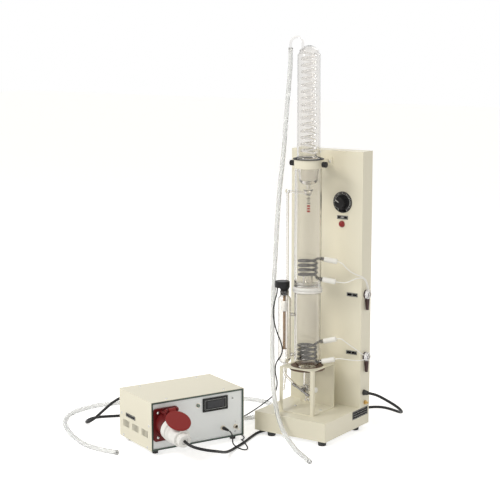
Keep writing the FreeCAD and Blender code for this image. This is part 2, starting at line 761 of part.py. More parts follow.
def make_condenser_jacket():
    wall, side, head, cone_end = s.glass_wall, s.jacket_radius, s.head_radius, s.cone_radius
    tip, low, top = s.drip_radius, s.drip_bottom, s.head_top
    drop, crown = (s.cone_bottom - low) / 2, (top - s.jacket_shoulder) / 2
    foot = s.vessel_top + s.gasket_thickness
    glass = turned_shape(
        [
            (tip - wall, low),
            (tip, low),
            (tip, low + drop),
            (cone_end, s.cone_bottom, -drop / 3),
            (side, s.vessel_top),
            (side, foot),
            (s.jacket_foot, foot),
            (s.jacket_foot, foot + wall),
            (side, foot + wall * 2),
            (side, s.jacket_shoulder),
            (head, s.jacket_shoulder + crown / 2, -wall / 2),
            (head, top - crown),
            (0, top, -head / 8),
            (0, top - wall),
            (head - wall, top - crown, head / 9),
            (head - wall, s.jacket_shoulder + crown / 2),
            (side - wall, s.jacket_shoulder, wall / 2),
            (side - wall, s.vessel_top),
            (cone_end - wall, s.cone_bottom + wall),
            (tip - wall, low + drop + wall, drop / 4),
        ]
    )
    corner, way = coil_leg()
    bore = s.coil_tube / 2 + s.glass_gap
    glass = glass.cut(along(corner, way, 0, side * 2, bore))
    foot_x, foot_y = coil_top()
    glass = glass.cut(Part.makeCylinder(bore, top, vector(foot_x, foot_y, top - 2 * crown)))
    add("condenser_jacket", formed(shifted(glass, s.glass_x, s.glass_y)), STAND)


def coil_end_angle():
    """The turn at which the coil, bent upward, stands under the hook."""
    return 180 - math.degrees(math.atan2(s.coil_bend, s.coil_radius))


def coil_helix():
    turns = s.coil_turns + (coil_end_angle() - 90) / FULL_TURN
    steps_turns = round(turns * 6) / 6
    pitch = s.coil_pitch * turns / steps_turns
    return helix_points(
        s.coil_radius, pitch, s.coil_bottom, coil_end_angle() - FULL_TURN * steps_turns, steps_turns
    )


def coil_leg():
    points, tangents = coil_helix()
    return points[0] - tangents[0] * s.coil_bend, vector(points[0].x, points[0].y, 0).normalize()


def coil_top():
    points, tangents = coil_helix()
    corner = points[-1] + tangents[-1] * s.coil_bend
    return corner.x, corner.y


def helix_edges(points, tangents):
    edges = []
    for k in range(len(points) - 1):
        edges += biarc(points[k], tangents[k], points[k + 1], tangents[k + 1])
    return edges


def make_condenser_coil():
    """One glass tube: inlet at the back, the turns, and the hook that the hose pushes on."""
    points, tangents = coil_helix()
    corner, way = coil_leg()
    arc, inner = bend(points[0], tangents[0] * -1, way, s.coil_bend)
    start = corner + way * (s.coil_inlet - s.coil_radius)
    edges = [
        Part.LineSegment(start, inner).toShape(),
        rounded_arc(inner, corner, points[0]),
    ] + helix_edges(points, tangents)
    arc, foot = bend(points[-1], tangents[-1], UP, s.coil_bend)
    high = vector(foot.x, foot.y, s.hook_rise)
    reach = (s.hook_reach - abs(foot.x)) / 2
    left, down = vector(-1, 0, 0), vector(0, 0, -1)
    first, crown = bend(high, UP, left, reach)
    second, side = bend(crown, left, down, reach)
    low = vector(side.x, side.y, s.hook_end)
    edges += [
        arc,
        Part.LineSegment(foot, high).toShape(),
        first,
        second,
        Part.LineSegment(side, low).toShape(),
    ]
    tube = shifted(swept(edges, s.coil_tube / 2), s.glass_x, s.glass_y)
    length = sum(edge.Length for edge in edges)
    section = math.pi * s.coil_tube * s.coil_tube / 4
    print(f"condenser_coil: length {length:.0f}, filled {tube.Volume / (section * length):.3f}")
    add("condenser_coil", formed(tube), STAND)


def make_heater(name, bottom, rise):
    """One metal-sheathed element: its turns and the two legs that leave through the glass."""
    points, tangents = helix_points(
        s.heater_radius, s.heater_pitch, bottom, s.heater_angle, s.heater_turns
    )
    low_corner, way = heater_leg(bottom, rise, False)
    high_corner, way = heater_leg(bottom, rise, True)
    reach = s.heater_bend
    low_start, high_start = low_corner + way * reach, high_corner + way * reach
    edges = [
        Part.LineSegment(low_corner + way * s.leg_end, low_start).toShape(),
        rounded_arc(low_start, low_corner, points[0]),
    ]
    edges += helix_edges(points, tangents)
    edges += [
        rounded_arc(points[-1], high_corner, high_start),
        Part.LineSegment(high_start, high_corner + way * s.leg_end).toShape(),
    ]
    tube = shifted(swept(edges, s.heater_tube / 2), s.glass_x, s.glass_y)
    length = sum(edge.Length for edge in edges)
    section = math.pi * s.heater_tube * s.heater_tube / 4
    print(f"{name}: length {length:.0f}, filled {tube.Volume / (section * length):.3f}")
    add(name, formed(tube), STAND)


def make_heater_sleeves():
    sleeves = []
    for corner, way in lower_legs() + upper_legs():
        plug = along(corner, way, s.sleeve_start, s.sleeve_end, s.sleeve_radius)
        ends = [e for e in plug.Edges if round_edge(e)]
        plug = plug.makeFillet(s.sleeve_radius / 3, ends)
        plug = plug.cut(along(corner, way, 0, s.leg_end + s.glass_gap, s.sleeve_cavity))
        sleeves.append(shifted(plug, s.glass_x, s.glass_y))
    add("heater_sleeves", formed(Part.makeCompound(sleeves)), STAND)


# Clamp round the neck


def make_clamp_collar():
    collar = body("clamp_collar")
    ring = sketch_on(collar, "XY_Plane", "collar_bottom")
    circle(ring, "collar_outer", "glass_x", "glass_y")
    pad(collar, ring, "collar_height")
    arm = sketch_on(collar, "XY_Plane", "collar_bottom + collar_height / 2 - arm_depth / 2")
    column_front = "base_depth / 2 - column_depth"
    rectangle(
        arm, "glass_x - arm_width / 2", "glass_y", "glass_x + arm_width / 2", f"{column_front} - seam_gap"
    )
    pad(collar, arm, "arm_depth")
    flange = sketch_on(collar, "XY_Plane", "collar_bottom")
    rectangle(
        flange,
        "glass_x - arm_flange_width / 2",
        f"{column_front} - arm_flange_sheet",
        "glass_x + arm_flange_width / 2",
        column_front,
    )
    pad(collar, flange, "collar_height")
    ears = sketch_on(collar, "YZ_Plane", "glass_x - thumb_boss")
    circle(ears, "thumb_boss_radius", "glass_y", "collar_bottom + collar_height / 2")
    pad(collar, ears, "2 * thumb_boss")
    bore = sketch_on(collar, "XY_Plane", "collar_bottom - overrun")
    circle(bore, "collar_inner", "glass_x", "glass_y")
    pocket(collar, bore, "collar_height + 2 * overrun", reverse=True)
    threads = sketch_on(collar, "YZ_Plane", "glass_x - thumb_boss - overrun")
    circle(threads, "thumb_thread_radius + running_gap", "glass_y", "collar_bottom + collar_height / 2")
    pocket(collar, threads, "2 * thumb_boss + 2 * overrun", reverse=True)
    add("clamp_collar", collar, STAND)


def collar_screws():
    face = "base_depth / 2 - column_depth - arm_flange_sheet"
    level = "collar_bottom + collar_height / 2"
    screws = [
        screw(x, face, level, vector(0, -1, 0), "arm_flange_sheet")
        for x in ("glass_x - arm_screw_spread", "glass_x + arm_screw_spread")
    ]
    return placed(group(screws), STAND)


def make_collar_gasket():
    ring = rod("gasket_outer", "gasket_thickness", "glass_x", "glass_y", "vessel_top")
    bore = rod("jacket_radius + seam_gap", "overrun * 2", "glass_x", "glass_y", "vessel_top - overrun")
    add("collar_gasket", cut(ring, [bore]), STAND)


def make_thumbscrew(name, side):
    """A black knob and the thread that presses on the glass."""
    axis = vector(side, 0, 0)
    level = "collar_bottom + collar_height / 2"
    start = f"glass_x + {side} * (vessel_radius + thumb_tip_gap)"
    thread = rod("thumb_thread_radius", "thumb_thread_length", start, "glass_y", level, axis)
    knob_at = f"glass_x + {side} * thumb_knob_start"
    knob = rod("thumb_knob_radius", "thumb_knob_length", knob_at, "glass_y", level, axis)
    grips = [
        rod(
            "thumb_knob_length / 10",
            "thumb_knob_length + 2 * overrun",
            f"glass_x + {side} * (thumb_knob_start - overrun)",
            f"glass_y + thumb_knob_radius * {math.cos(angle):.6f}",
            f"{level} + thumb_knob_radius * {math.sin(angle):.6f}",
            axis,
        )
        for angle in [math.pi / 6 * k for k in range(12)]
    ]
    add(name, joined([cut(knob, grips), thread]), STAND)


# Level chamber, float and drain


def make_level_chamber():
    wall, side, neck, low = s.chamber_wall, s.chamber_radius, s.chamber_neck, s.link_radius + s.seam_gap
    glass = turned_shape(
        [
            (low, s.chamber_bottom),
            (side, s.chamber_cone_top, -wall * 2),
            (side, s.chamber_shoulder),
            (neck, s.chamber_top, -wall),
            (neck, s.chamber_neck_top),
            (neck - wall, s.chamber_neck_top),
            (neck - wall, s.chamber_top),
            (side - wall, s.chamber_shoulder, wall),
            (side - wall, s.chamber_cone_top),
            (low - wall, s.chamber_bottom, wall),
        ]
    )
    inner = Part.makeCylinder(side - wall / 2, s.vessel_top)
    far = math.hypot(s.chamber_x - s.glass_x, s.chamber_y - s.glass_y) - bridge_middle() - s.glass_gap / 2
    for height in (s.upper_bridge, s.lower_bridge):
        way = bridge_way() * -1
        glass = glass.fuse(along(UP * height, way, side / 2, far, s.bridge_radius).cut(inner))
        glass = glass.cut(along(UP * height, way, side / 2, side * 2, s.bridge_bore))
    edges = link_edges()
    glass = shifted(glass, s.chamber_x, s.chamber_y).fuse(swept(edges, s.link_radius))
    add("level_chamber", formed(glass.cut(swept(edges, s.arm_tube_bore))), STAND)


def link_edges():
    """The tube from the chamber's lower end to the stopcock's branch."""
    return tube_path(
        [
            vector(s.chamber_x, s.chamber_y, s.chamber_bottom + s.chamber_wall / 2),
            vector(s.chamber_x, s.chamber_y, s.cock_height + s.link_drop),
            vector(s.glass_x - s.link_meet - s.link_straight, s.glass_y, s.cock_height),
            vector(s.glass_x - s.link_meet, s.glass_y, s.cock_height),
        ],
    )[0]


def make_level_head():
    cap, cone_low = "head_cap_bottom", "(head_cap_bottom - head_cone_height)"
    way = bridge_way() * s.head_cap_shift
    shifted_x, shifted_y = f"chamber_x + {way.x:.4f}", f"chamber_y + {way.y:.4f}"
    head = joined(
        [
            rod("head_cap_radius", "head_cap_height", shifted_x, shifted_y, cap),
            cone(
                "head_cone_radius",
                "head_cap_radius * 0.7",
                "head_cone_height",
                "chamber_x",
                "chamber_y",
                cone_low,
            ),
            rod(
                "head_cone_radius",
                "head_plug_depth",
                "chamber_x",
                "chamber_y",
                f"{cone_low} - head_plug_depth",
            ),
        ]
    )
    top = rounded(
        head,
        s.stem_stop_height * 0.8,
        lambda m, e: m.z > s.head_cap_bottom + s.head_cap_height - s.seam_gap,
    )
    bore = rod(
        "stem_radius",
        "head_plug_depth * 3",
        "chamber_x",
        "chamber_y",
        f"{cone_low} - head_plug_depth * 2",
    )
    add("level_head", cut(top, [bore]), STAND)


def make_float_stem():
    tall = "head_cap_bottom - stem_bottom"
    stem = rod("stem_radius", tall, "chamber_x", "chamber_y", "stem_bottom")
    stop = rod("stem_stop_radius", "stem_stop_height", "chamber_x", "chamber_y", "stem_bottom")
    add("float_stem", joined([stem, stop]), STAND)


def make_float():
    ball = rod("float_radius", "float_length", "chamber_x", "chamber_y", "float_bottom")
    soft = rounded(ball, s.float_radius / 3, lambda m, e: round_edge(e))
    bore = rod(
        "stem_radius + running_gap",
        "float_length * 2",
        "chamber_x",
        "chamber_y",
        "float_bottom - overrun",
    )
    add("float", cut(soft, [bore]), STAND)


def make_stopcock_body():
    """Barrel across the neck, the outlet below, and the branch that the level tube enters."""
    north, west = vector(0, -1, 0), vector(-1, 0, 0)
    front = "glass_y + barrel_front"
    barrel = rod("barrel_radius", "barrel_front + barrel_back", "glass_x", front, "cock_height", north)
    inlet = rod(
        "neck_radius", "neck_bottom - seam_gap - cock_height", "glass_x", "glass_y", "cock_height"
    )
    branch = rod("link_meet_radius", "link_meet - seam_gap", "glass_x", "glass_y", "cock_height", west)
    outlet = rod("outlet_radius", "cock_height - outlet_bottom", "glass_x", "glass_y", "outlet_bottom")
    lip = cone("outlet_lip", "outlet_radius", "outlet_lip", "glass_x", "glass_y", "outlet_bottom")
    arm = rod(
        "outlet_radius", "nut_start - seam_gap", "glass_x", "glass_y", "cock_height", vector(1, 0, 0)
    )
    waterway = rod(
        "outlet_bore",
        "neck_bottom - outlet_bottom + 2 * overrun",
        "glass_x",
        "glass_y",
        "outlet_bottom - overrun",
    )
    bore = rod(
        "key_radius + running_gap",
        "barrel_front + barrel_back + 2 * overrun",
        "glass_x",
        f"{front} + overrun",
        "cock_height",
        north,
    )
    cock = cut(joined([barrel, inlet, branch, outlet, lip, arm]), [waterway, bore])
    add("stopcock_body", cock, STAND)


def make_side_nut():
    """The white screw cap on the stopcock's unused branch."""
    east = vector(1, 0, 0)
    nut = rod("nut_radius", "nut_length", "glass_x + nut_start", "glass_y", "cock_height", east)
    grips = [
        rod(
            "nut_radius / 10",
            "nut_length * 2",
            "glass_x + nut_start - overrun",
            f"glass_y + nut_radius * {math.cos(angle):.6f}",
            f"cock_height + nut_radius * {math.sin(angle):.6f}",
            east,
        )
        for angle in [math.pi / 7 * k for k in range(14)]
    ]
    add("stopcock_side_cap", cut(nut, grips), STAND)


def make_stopcock_key():
    """The turning plug with its bored way, its collar and the lever across its front."""
    north = vector(0, -1, 0)
    plug = rod(
        "key_radius",
        "barrel_front + barrel_back + key_proud",
        "glass_x",
        "glass_y + barrel_back",
        "cock_height",
        north,
    )
    head = rod(
        "key_head_radius",
        "key_head_length",
        "glass_x",
        "glass_y - barrel_front - seam_gap",
        "cock_height",
        north,
    )
    slope = math.radians(s.lever_slope)
    way = vector(math.cos(slope), 0, -math.sin(slope))
    handle = rod(
        "lever_radius",
        "lever_length",
        f"glass_x - lever_offset * {way.x:.6f}",
        "glass_y - barrel_front - key_proud",
        f"cock_height - lever_offset * {way.z:.6f}",
        way,
    )
    ends = [
        rod(
            "lever_radius * 1.5",
            "lever_radius * 4",
            f"glass_x + {k} * {way.x:.6f}",
            "glass_y - barrel_front - key_proud",
            f"cock_height + {k} * {way.z:.6f}",
            way,
        )
        for k in ("(lever_length - lever_offset - lever_radius * 4)", "(-lever_offset)")
    ]
    way_hole = rod("outlet_bore", "key_radius * 4", "glass_x", "glass_y", "cock_height - key_radius * 2")
    add("stopcock_key", cut(joined([plug, head, handle] + ends), [way_hole]), STAND)


# Controls on the column


def column_front(offset="0"):
    return f"base_depth / 2 - column_depth - ({offset})"


NORTH, SOUTH, EAST = FreeCAD.Vector(0, 1, 0), FreeCAD.Vector(0, -1, 0), FreeCAD.Vector(1, 0, 0)


def dial_plate():
    disc = rod("dial_radius", "dial_thickness", "dial_x", column_front(), "dial_height", SOUTH)
    hole = rod(
        "shaft_radius + shaft_room",
        "overrun",
        "dial_x",
        column_front("-shaft_room"),
        "dial_height",
        SOUTH,
    )
    return cut(disc, [hole])


def make_regulator_knob():
    """A fluted knob on a wider skirt, with its shaft."""
    start = column_front("dial_thickness + seam_gap")
    skirt = cone("knob_skirt_radius", "knob_radius", "knob_skirt", "dial_x", start, "dial_height", SOUTH)
    grip = cone(
        "knob_radius * 0.8", "knob_radius * 0.74", "knob_length", "dial_x", start, "dial_height", SOUTH
    )
    flutes = [
        rod(
            "knob_radius / 8",
            "knob_length + overrun",
            f"dial_x + knob_radius * 0.84 * {math.cos(angle):.6f}",
            f"{start} - knob_skirt",
            f"dial_height + knob_radius * 0.84 * {math.sin(angle):.6f}",
            SOUTH,
        )
        for angle in [math.pi / 8 * (k + 0.5) for k in range(16)]
    ]
    shaft = rod("shaft_radius", "shaft_length", "dial_x", f"{start} + shaft_length", "dial_height", SOUTH)
    add("regulator_knob", joined([cut(joined([skirt, grip]), flutes), shaft]), STAND)


def make_regulator_body():
    """The power regulator behind the column's face, with the bearing for the shaft."""
    back = column_front("-column_wall - seam_gap")
    case = block(
        "module_width",
        "module_depth",
        "module_width",
        "dial_x - module_width / 2",
        back,
        "dial_height - module_width / 2",
    )
    bore = rod(
        "shaft_radius + running_gap",
        "module_depth * 2",
        "dial_x",
        f"{back} + module_depth * 0.8",
        "dial_height",
        SOUTH,
    )
    terminals = [
        block(
            "module_width / 8",
            "module_depth / 4",
            "module_width / 5",
            f"dial_x + {k} * module_width",
            f"{back} + module_depth",
            "dial_height - module_width / 10",
        )
        for k in ("0.3", "0.1", "-0.2", "-0.4")
    ]
    add("regulator_module", cut(joined([case] + terminals), [bore]), STAND)


def make_indicator_lamps():
    bezel = cone(
        "lamp_radius", "lamp_radius * 0.86", "lamp_bezel", "lamp_x", column_front(), "lamp_height", SOUTH
    )
    barrel = rod("lamp_barrel_radius", "lamp_barrel", "lamp_x", column_front(), "lamp_height", NORTH)
    lens = rod("lamp_radius * 0.7", "lamp_bezel * 1.6", "lamp_x", column_front(), "lamp_height", SOUTH)
    soft = rounded(
        lens, s.lamp_bezel * 0.6, lambda m, e: m.y < s.base_depth / 2 - s.column_depth - s.lamp_bezel
    )
    add("indicator_lamps", group([placed(joined([bezel, barrel, soft]), STAND), status_led()]))


def make_face_plates():
    """The black plates: the dial, three small ones on the face and one on the base's side."""
    places = [
        ("dial_x", "dial_plate_height"),
        ("heater_plate_x", "upper_plate_height"),
        ("heater_plate_x", "lower_plate_height"),
    ]
    plates = [
        block(
            "plate_width",
            "plate_thickness",
            "plate_height",
            f"{x} - plate_width / 2",
            column_front("plate_thickness"),
            f"{z} - plate_height / 2",
        )
        for x, z in places
    ]
    rating = block(
        "plate_thickness",
        "rating_width",
        "rating_height",
        "base_width / 2",
        "rating_back - rating_width / 2",
        "rating_middle - rating_height / 2",
    )
    add("face_plates", group(plates + [rating, dial_plate()]), STAND)


def make_heater_sockets():
    """Round sockets in the column's side, each with the boot of its inside leads below it."""
    pieces = []
    for height in ("upper_socket", "lower_socket"):
        side = "base_width / 2"
        barrel = rod(
            "socket_radius",
            "socket_reach + socket_behind",
            f"{side} - socket_behind",
            "socket_y",
            height,
            EAST,
        )
        flange = rod("plug_radius", "socket_reach / 2", side, "socket_y", height, EAST)
        below = f"{height} - plug_radius - seam_gap"
        boot = cone(
            "tail_width / 2",
            "tail_tip / 2",
            "tail_drop",
            f"{side} + tail_width / 2",
            "socket_y",
            below,
            UP * -1,
        )
        pieces += [joined([barrel, flange]), boot]
    add("heater_sockets", group(pieces), STAND)


def heater_plug(height):
    start = "base_width / 2 + socket_reach + seam_gap / 3"
    length = "(plug_reach - socket_reach - seam_gap / 3 - plug_cap)"
    shell = cone("plug_radius", "plug_waist", length, start, "socket_y", height, EAST)
    ribs = [
        rod("plug_radius", "plug_reach / 8", f"{start} + plug_reach * {k}", "socket_y", height, EAST)
        for k in (0.05, 0.3)
    ]
    cap = rod("plug_waist * 0.6", "plug_cap", f"{start} + {length}", "socket_y", height, EAST)
    return joined([shell, cap] + ribs)


def make_heater_plugs():
    add("heater_plugs", group([heater_plug("upper_socket"), heater_plug("lower_socket")]), STAND)


def make_cord_grommets():
    side = "base_width / 2"
    flange = cone(
        "grommet_radius", "grommet_tip", "grommet_reach", side, "grommet_y", "grommet_height", EAST
    )
    neck = rod(
        "grommet_tip",
        "column_wall + 2 * seam_gap + overrun / 2",
        side,
        "grommet_y",
        "grommet_height",
        EAST * -1,
    )
    add("cord_grommets", group([placed(joined([flange, neck]), STAND), mains_gland()]))


def make_earth_terminal():
    side = "base_width / 2"
    stud = rod(
        "earth_radius", "earth_reach + overrun", f"{side} - overrun", "earth_y", "earth_height", EAST
    )
    washer = rod("earth_nut", "earth_radius / 3", side, "earth_y", "earth_height", EAST)
    nut = document.addObject("Part::Prism", "nut")
    nut.Polygon = 6
    nut.Placement = FreeCAD.Placement(vector(0, 0, 0), FreeCAD.Rotation(UP, EAST))
    bind(nut, Circumradius="earth_nut", Height="earth_radius * 1.4")
    move(nut, f"{side} + earth_radius", "earth_y", "earth_height")
    add("earth_terminal", joined([stud, washer, nut]), STAND)


# Control box, in its own frame with the front towards -Y


def front_face(offset="0"):
    return f"-control_depth / 2 - ({offset})"


def make_control_tray():
    """Bottom with low sides folded up inside the cover."""
    width = "(control_width - 2 * control_wall - 2 * seam_gap)"
    depth = "(control_depth - 2 * panel_recess - 2 * panel_sheet - 2 * seam_gap)"
    tray = body("control_tray")
    outline = sketch_on(tray, "XY_Plane", "foot_height")
    rectangle(outline, f"-{width} / 2", f"-{depth} / 2", f"{width} / 2", f"{depth} / 2")
    pad(tray, outline, "tray_lip")
    inside = sketch_on(tray, "XY_Plane", "foot_height + control_wall")
    rectangle(
        inside,
        f"-{width} / 2 + control_wall",
        f"-{depth} / 2 - overrun",
        f"{width} / 2 - control_wall",
        f"{depth} / 2 + overrun",
    )
    pocket(tray, inside, "tray_lip", reverse=True)
    add("control_tray", tray, CONTROL)


def make_control_cover():
    """Top and both sides in one folded sheet, with slots for air in the sides."""
    cover = body("control_cover")
    outline = sketch_on(cover, "XY_Plane", "foot_height")
    rectangle(
        outline, "-control_width / 2", "-control_depth / 2", "control_width / 2", "control_depth / 2"
    )
    pad(cover, outline, "control_height")
    inside = sketch_on(cover, "XY_Plane", "foot_height - overrun")
    rectangle(
        inside,
        "-control_width / 2 + control_wall",
        "-control_depth / 2 - overrun",
        "control_width / 2 - control_wall",
        "control_depth / 2 + overrun",
    )
    pocket(cover, inside, "control_height - control_wall + overrun", reverse=True)
    slots = sketch_on(cover, "YZ_Plane", "-control_width / 2 - overrun")
    for group_number in range(3):
        for slot in range(int(s.louvre_count)):
            middle = (
                f"({group_number - 1} * louvre_group_pitch"
                f" + ({slot} - (louvre_count - 1) / 2) * louvre_pitch)"
            )
            rectangle(
                slots,
                f"{middle} - louvre_slot / 2",
                "louvre_middle - louvre_length / 2",
                f"{middle} + louvre_slot / 2",
                "louvre_middle + louvre_length / 2",
            )
    pocket(cover, slots, "2 * overrun", reverse=True)
    port = sketch_on(cover, "YZ_Plane", "control_width / 2 - overrun")
    circle(port, "hose_port_radius - seam_gap", "hose_port_y", "hose_port_height")
    pocket(cover, port, "2 * overrun", reverse=True)
    add("control_cover", cover, CONTROL)


def make_front_trim():
    """The dark frame just inside the cover's front edge."""
    width = "(control_width - 2 * control_wall - 2 * seam_gap)"
    tall = "(control_height - control_wall - 2 * seam_gap)"
    frame = body("front_trim")
    outline = sketch_on(frame, "XZ_Plane", "control_depth / 2 - panel_recess")
    rectangle(
        outline,
        f"-{width} / 2",
        "foot_height + seam_gap",
        f"{width} / 2",
        f"foot_height + seam_gap + {tall}",
    )
    pad(frame, outline, "panel_recess")
    window = sketch_on(frame, "XZ_Plane", "control_depth / 2 - panel_recess - overrun")
    rectangle(
        window,
        f"-{width} / 2 + trim_width",
        "foot_height + seam_gap + trim_width",
        f"{width} / 2 - trim_width",
        f"foot_height + seam_gap + {tall} - trim_width",
    )
    pocket(frame, window, "panel_recess + 2 * overrun", reverse=True)
    add("front_trim", frame, CONTROL)


def make_panel(name, front):
    """A flat end panel inside the cover, above the tray's floor."""
    panel = body(name)
    width = "(control_width - 2 * control_wall - 2 * seam_gap)"
    tall = "(control_height - control_wall - 2 * seam_gap)"
    near = "control_depth / 2 - panel_recess - panel_sheet" if front else "-control_depth / 2 + panel_recess"
    outline = sketch_on(panel, "XZ_Plane", near)
    rectangle(
        outline,
        f"-{width} / 2",
        "foot_height + seam_gap",
        f"{width} / 2",
        f"foot_height + seam_gap + {tall}",
    )
    pad(panel, outline, "panel_sheet")
    holes = sketch_on(panel, "XZ_Plane", f"{near} - overrun")
    if front:
        circle(holes, "socket_hole", "socket_x", "socket_height")
        circle(holes, "button_radius + seam_gap", "button_x", "button_height")
        circle(holes, "jack_barrel + seam_gap", "jack_x", "jack_height")
        circle(holes, "toggle_barrel + seam_gap", "toggle_x", "toggle_height")
        circle(holes, "led_radius", "led_x", "led_height")
        rectangle(
            holes,
            "meter_x - meter_width / 2 + meter_lip",
            "meter_height - meter_tall / 2 + meter_lip",
            "meter_x + meter_width / 2 - meter_lip",
            "meter_height + meter_tall / 2 - meter_lip",
        )
    else:
        circle(holes, "gland_tip + seam_gap", "gland_x", "gland_height")
    pocket(panel, holes, "panel_sheet + 2 * overrun", reverse=True)
    add(name, panel, CONTROL)


def make_rubber_feet():
    feet = [
        cone(
            "control_foot_radius * 0.9",
            "control_foot_radius",
            "foot_height",
            f"{across} * (control_width / 2 - control_foot_inset)",
            f"{back} * (control_depth / 2 - control_foot_inset)",
            "0",
        )
        for across in (1, -1)
        for back in (1, -1)
    ]
    add("rubber_feet", group([base_feet(), placed(group(feet), CONTROL)]))


def cover_screws():
    """Four screws in the top and four in each side of the cover."""
    shank = "control_wall"
    screws = [
        screw(
            f"{across} * cover_screw_across",
            f"{back} * cover_screw_back",
            "foot_height + control_height",
            UP,
            shank,
        )
        for across in (1, -1)
        for back in (1, -1)
    ]
    screws += [
        screw(
            f"{across} * control_width / 2",
            f"{back} * side_screw_back",
            f"foot_height + side_screw_up + {raised} * side_screw_rise",
            EAST * across,
            "control_wall",
        )
        for across in (1, -1)
        for back, raised in ((-1, 0), (1, 0), (-1.14, 1), (1.14, 1))
    ]
    return placed(group(screws), CONTROL)


def make_meter():
    face = front_face("-panel_recess")
    bezel = block(
        "meter_width",
        "meter_reach",
        "meter_tall",
        "meter_x - meter_width / 2",
        f"{face} - meter_reach",
        "meter_height - meter_tall / 2",
    )
    mouth = block(
        "meter_width - 4 * meter_lip",
        "meter_reach",
        "meter_tall - 4 * meter_lip",
        "meter_x - meter_width / 2 + 2 * meter_lip",
        f"{face} - meter_reach * 1.5",
        "meter_height - meter_tall / 2 + 2 * meter_lip",
    )
    case = block(
        "meter_width - 2 * meter_lip - 2 * seam_gap",
        "meter_body_depth",
        "meter_tall - 2 * meter_lip - 2 * seam_gap",
        "meter_x - meter_width / 2 + meter_lip + seam_gap",
        face,
        "meter_height - meter_tall / 2 + meter_lip + seam_gap",
    )
    add("meter", joined([cut(bezel, [mouth]), case]), CONTROL)


def tilted(solid, height):
    """Turn a solid built along -Y downwards about the socket's middle."""
    axis = vector(1, 0, 0)
    solid.rotate(vector(0, 0, 0), axis, s.socket_tilt)
    solid.translate(vector(s.socket_x, -s.control_depth / 2 + s.panel_recess, height))
    return solid


def reach_out(radius, near, far, end_radius=None):
    """A cylinder or cone along -Y from near to far."""
    if end_radius is None:
        return Part.makeCylinder(radius, far - near, vector(0, -near, 0), SOUTH)
    return Part.makeCone(radius, end_radius, far - near, vector(0, -near, 0), SOUTH)


def make_power_socket():
    """Flange, the round mouth that looks down a little, the body behind, and the ears of the lid."""
    face = -s.control_depth / 2 + s.panel_recess
    flange = Part.makeBox(
        s.socket_flange_width,
        s.socket_flange,
        s.socket_flange_height,
        vector(
            s.socket_x - s.socket_flange_width / 2,
            face - s.socket_flange,
            s.socket_height - s.socket_flange_height / 2,
        ),
    )
    edges = [e for e in flange.Edges if abs(e.CenterOfMass.y - (face - s.socket_flange / 2)) < s.seam_gap]
    flange = flange.makeFillet(s.socket_corner, edges)
    mouth = tilted(reach_out(s.socket_body_radius, 0, s.socket_length), s.socket_axis)
    behind = Part.makeCylinder(
        s.socket_hole - s.seam_gap, s.socket_behind_depth, vector(
            s.socket_x, face, s.socket_height
        ), NORTH
    )
    keep = Part.makeBox(
        s.control_width, s.control_depth, s.control_height * 2, vector(
            s.socket_x - s.control_width / 2, face - s.control_depth, 0
        )
    )
    body_shape = flange.fuse(mouth.common(keep)).fuse(behind)
    pin_y = -s.control_depth / 2 + s.panel_recess - s.lid_hinge_out
    for side in (1, -1):
        start = s.socket_x + side * (s.lid_pin_length / 2) - s.lid_ear / 2
        ear = Part.makeCylinder(
            s.lid_ear_radius, s.lid_ear, vector(start, pin_y, s.lid_hinge_height), EAST
        )
        foot = Part.makeBox(
            s.lid_ear,
            s.lid_ear_radius * 2,
            s.lid_hinge_height - s.socket_axis - s.socket_bore * 0.55,
            vector(start, pin_y, s.socket_axis + s.socket_bore * 0.55),
        )
        web = Part.makeBox(
            s.lid_ear,
            s.lid_hinge_out,
            s.lid_ear_radius,
            vector(start, pin_y, s.socket_height + s.socket_flange_height / 2 - s.lid_ear_radius * 2),
        )
        body_shape = body_shape.fuse([ear, foot, web])
    hinge = Part.makeCylinder(
        s.lid_pin_radius + s.running_gap,
        s.control_width,
        vector(s.socket_x - s.control_width / 2, pin_y, s.lid_hinge_height),
        EAST,
    )
    body_shape = body_shape.cut(
        tilted(
            reach_out(s.socket_bore, s.power_plug_nose_start - s.seam_gap, s.control_depth), s.socket_axis
        )
    )
    add("power_socket", formed(body_shape.cut(hinge)), CONTROL)


def lid_shape():
    """The sprung lid that rests on the plug, with its arm and hinge pin."""
    pin_y = -s.control_depth / 2 + s.panel_recess - s.lid_hinge_out
    disc = Part.makeCylinder(
        s.lid_radius, s.lid_thickness, vector(0, -s.lid_middle, -s.lid_thickness / 2)
    )
    rims = [e for e in disc.Edges if round_edge(e)]
    disc = disc.makeFillet(s.lid_thickness / 3, rims)
    arm = Part.makeBox(
        s.lid_arm * 1.6,
        s.lid_middle - s.lid_radius / 2,
        s.lid_thickness * 0.7,
        vector(-s.lid_arm * 0.8, -s.lid_middle + s.lid_radius / 2, -s.lid_thickness * 0.35),
    )
    knuckle = Part.makeCylinder(s.lid_ear_radius, s.lid_arm * 1.6, vector(-s.lid_arm * 0.8, 0, 0), EAST)
    pin = Part.makeCylinder(
        s.lid_pin_radius, s.lid_pin_length + s.lid_ear, vector(
            -(s.lid_pin_length + s.lid_ear) / 2, 0, 0
        ), EAST
    )
    lid = disc.fuse([arm, knuckle, pin])
    lid.rotate(vector(0, 0, 0), EAST, s.lid_slope)
    lid.translate(vector(s.socket_x, pin_y, s.lid_hinge_height))
    return lid


def make_socket_lid():
    add("socket_lid", formed(lid_shape()), CONTROL)


def make_round_head_screws():
    """Every visible fastener: two in the bracket, two in the collar, twelve in the cover, four in
    the socket."""
    screws = [
        screw(
            f"socket_x + {across} * socket_screw_across",
            front_face("socket_flange - panel_recess"),
            f"socket_height + {up} * socket_screw_up",
            SOUTH,
            "seam_gap",
        )
        for across in (1, -1)
        for up in (1, -1)
    ]
    groups = [bracket_screws(), collar_screws(), cover_screws(), placed(group(screws), CONTROL)]
    add("round_head_screws", group(groups))


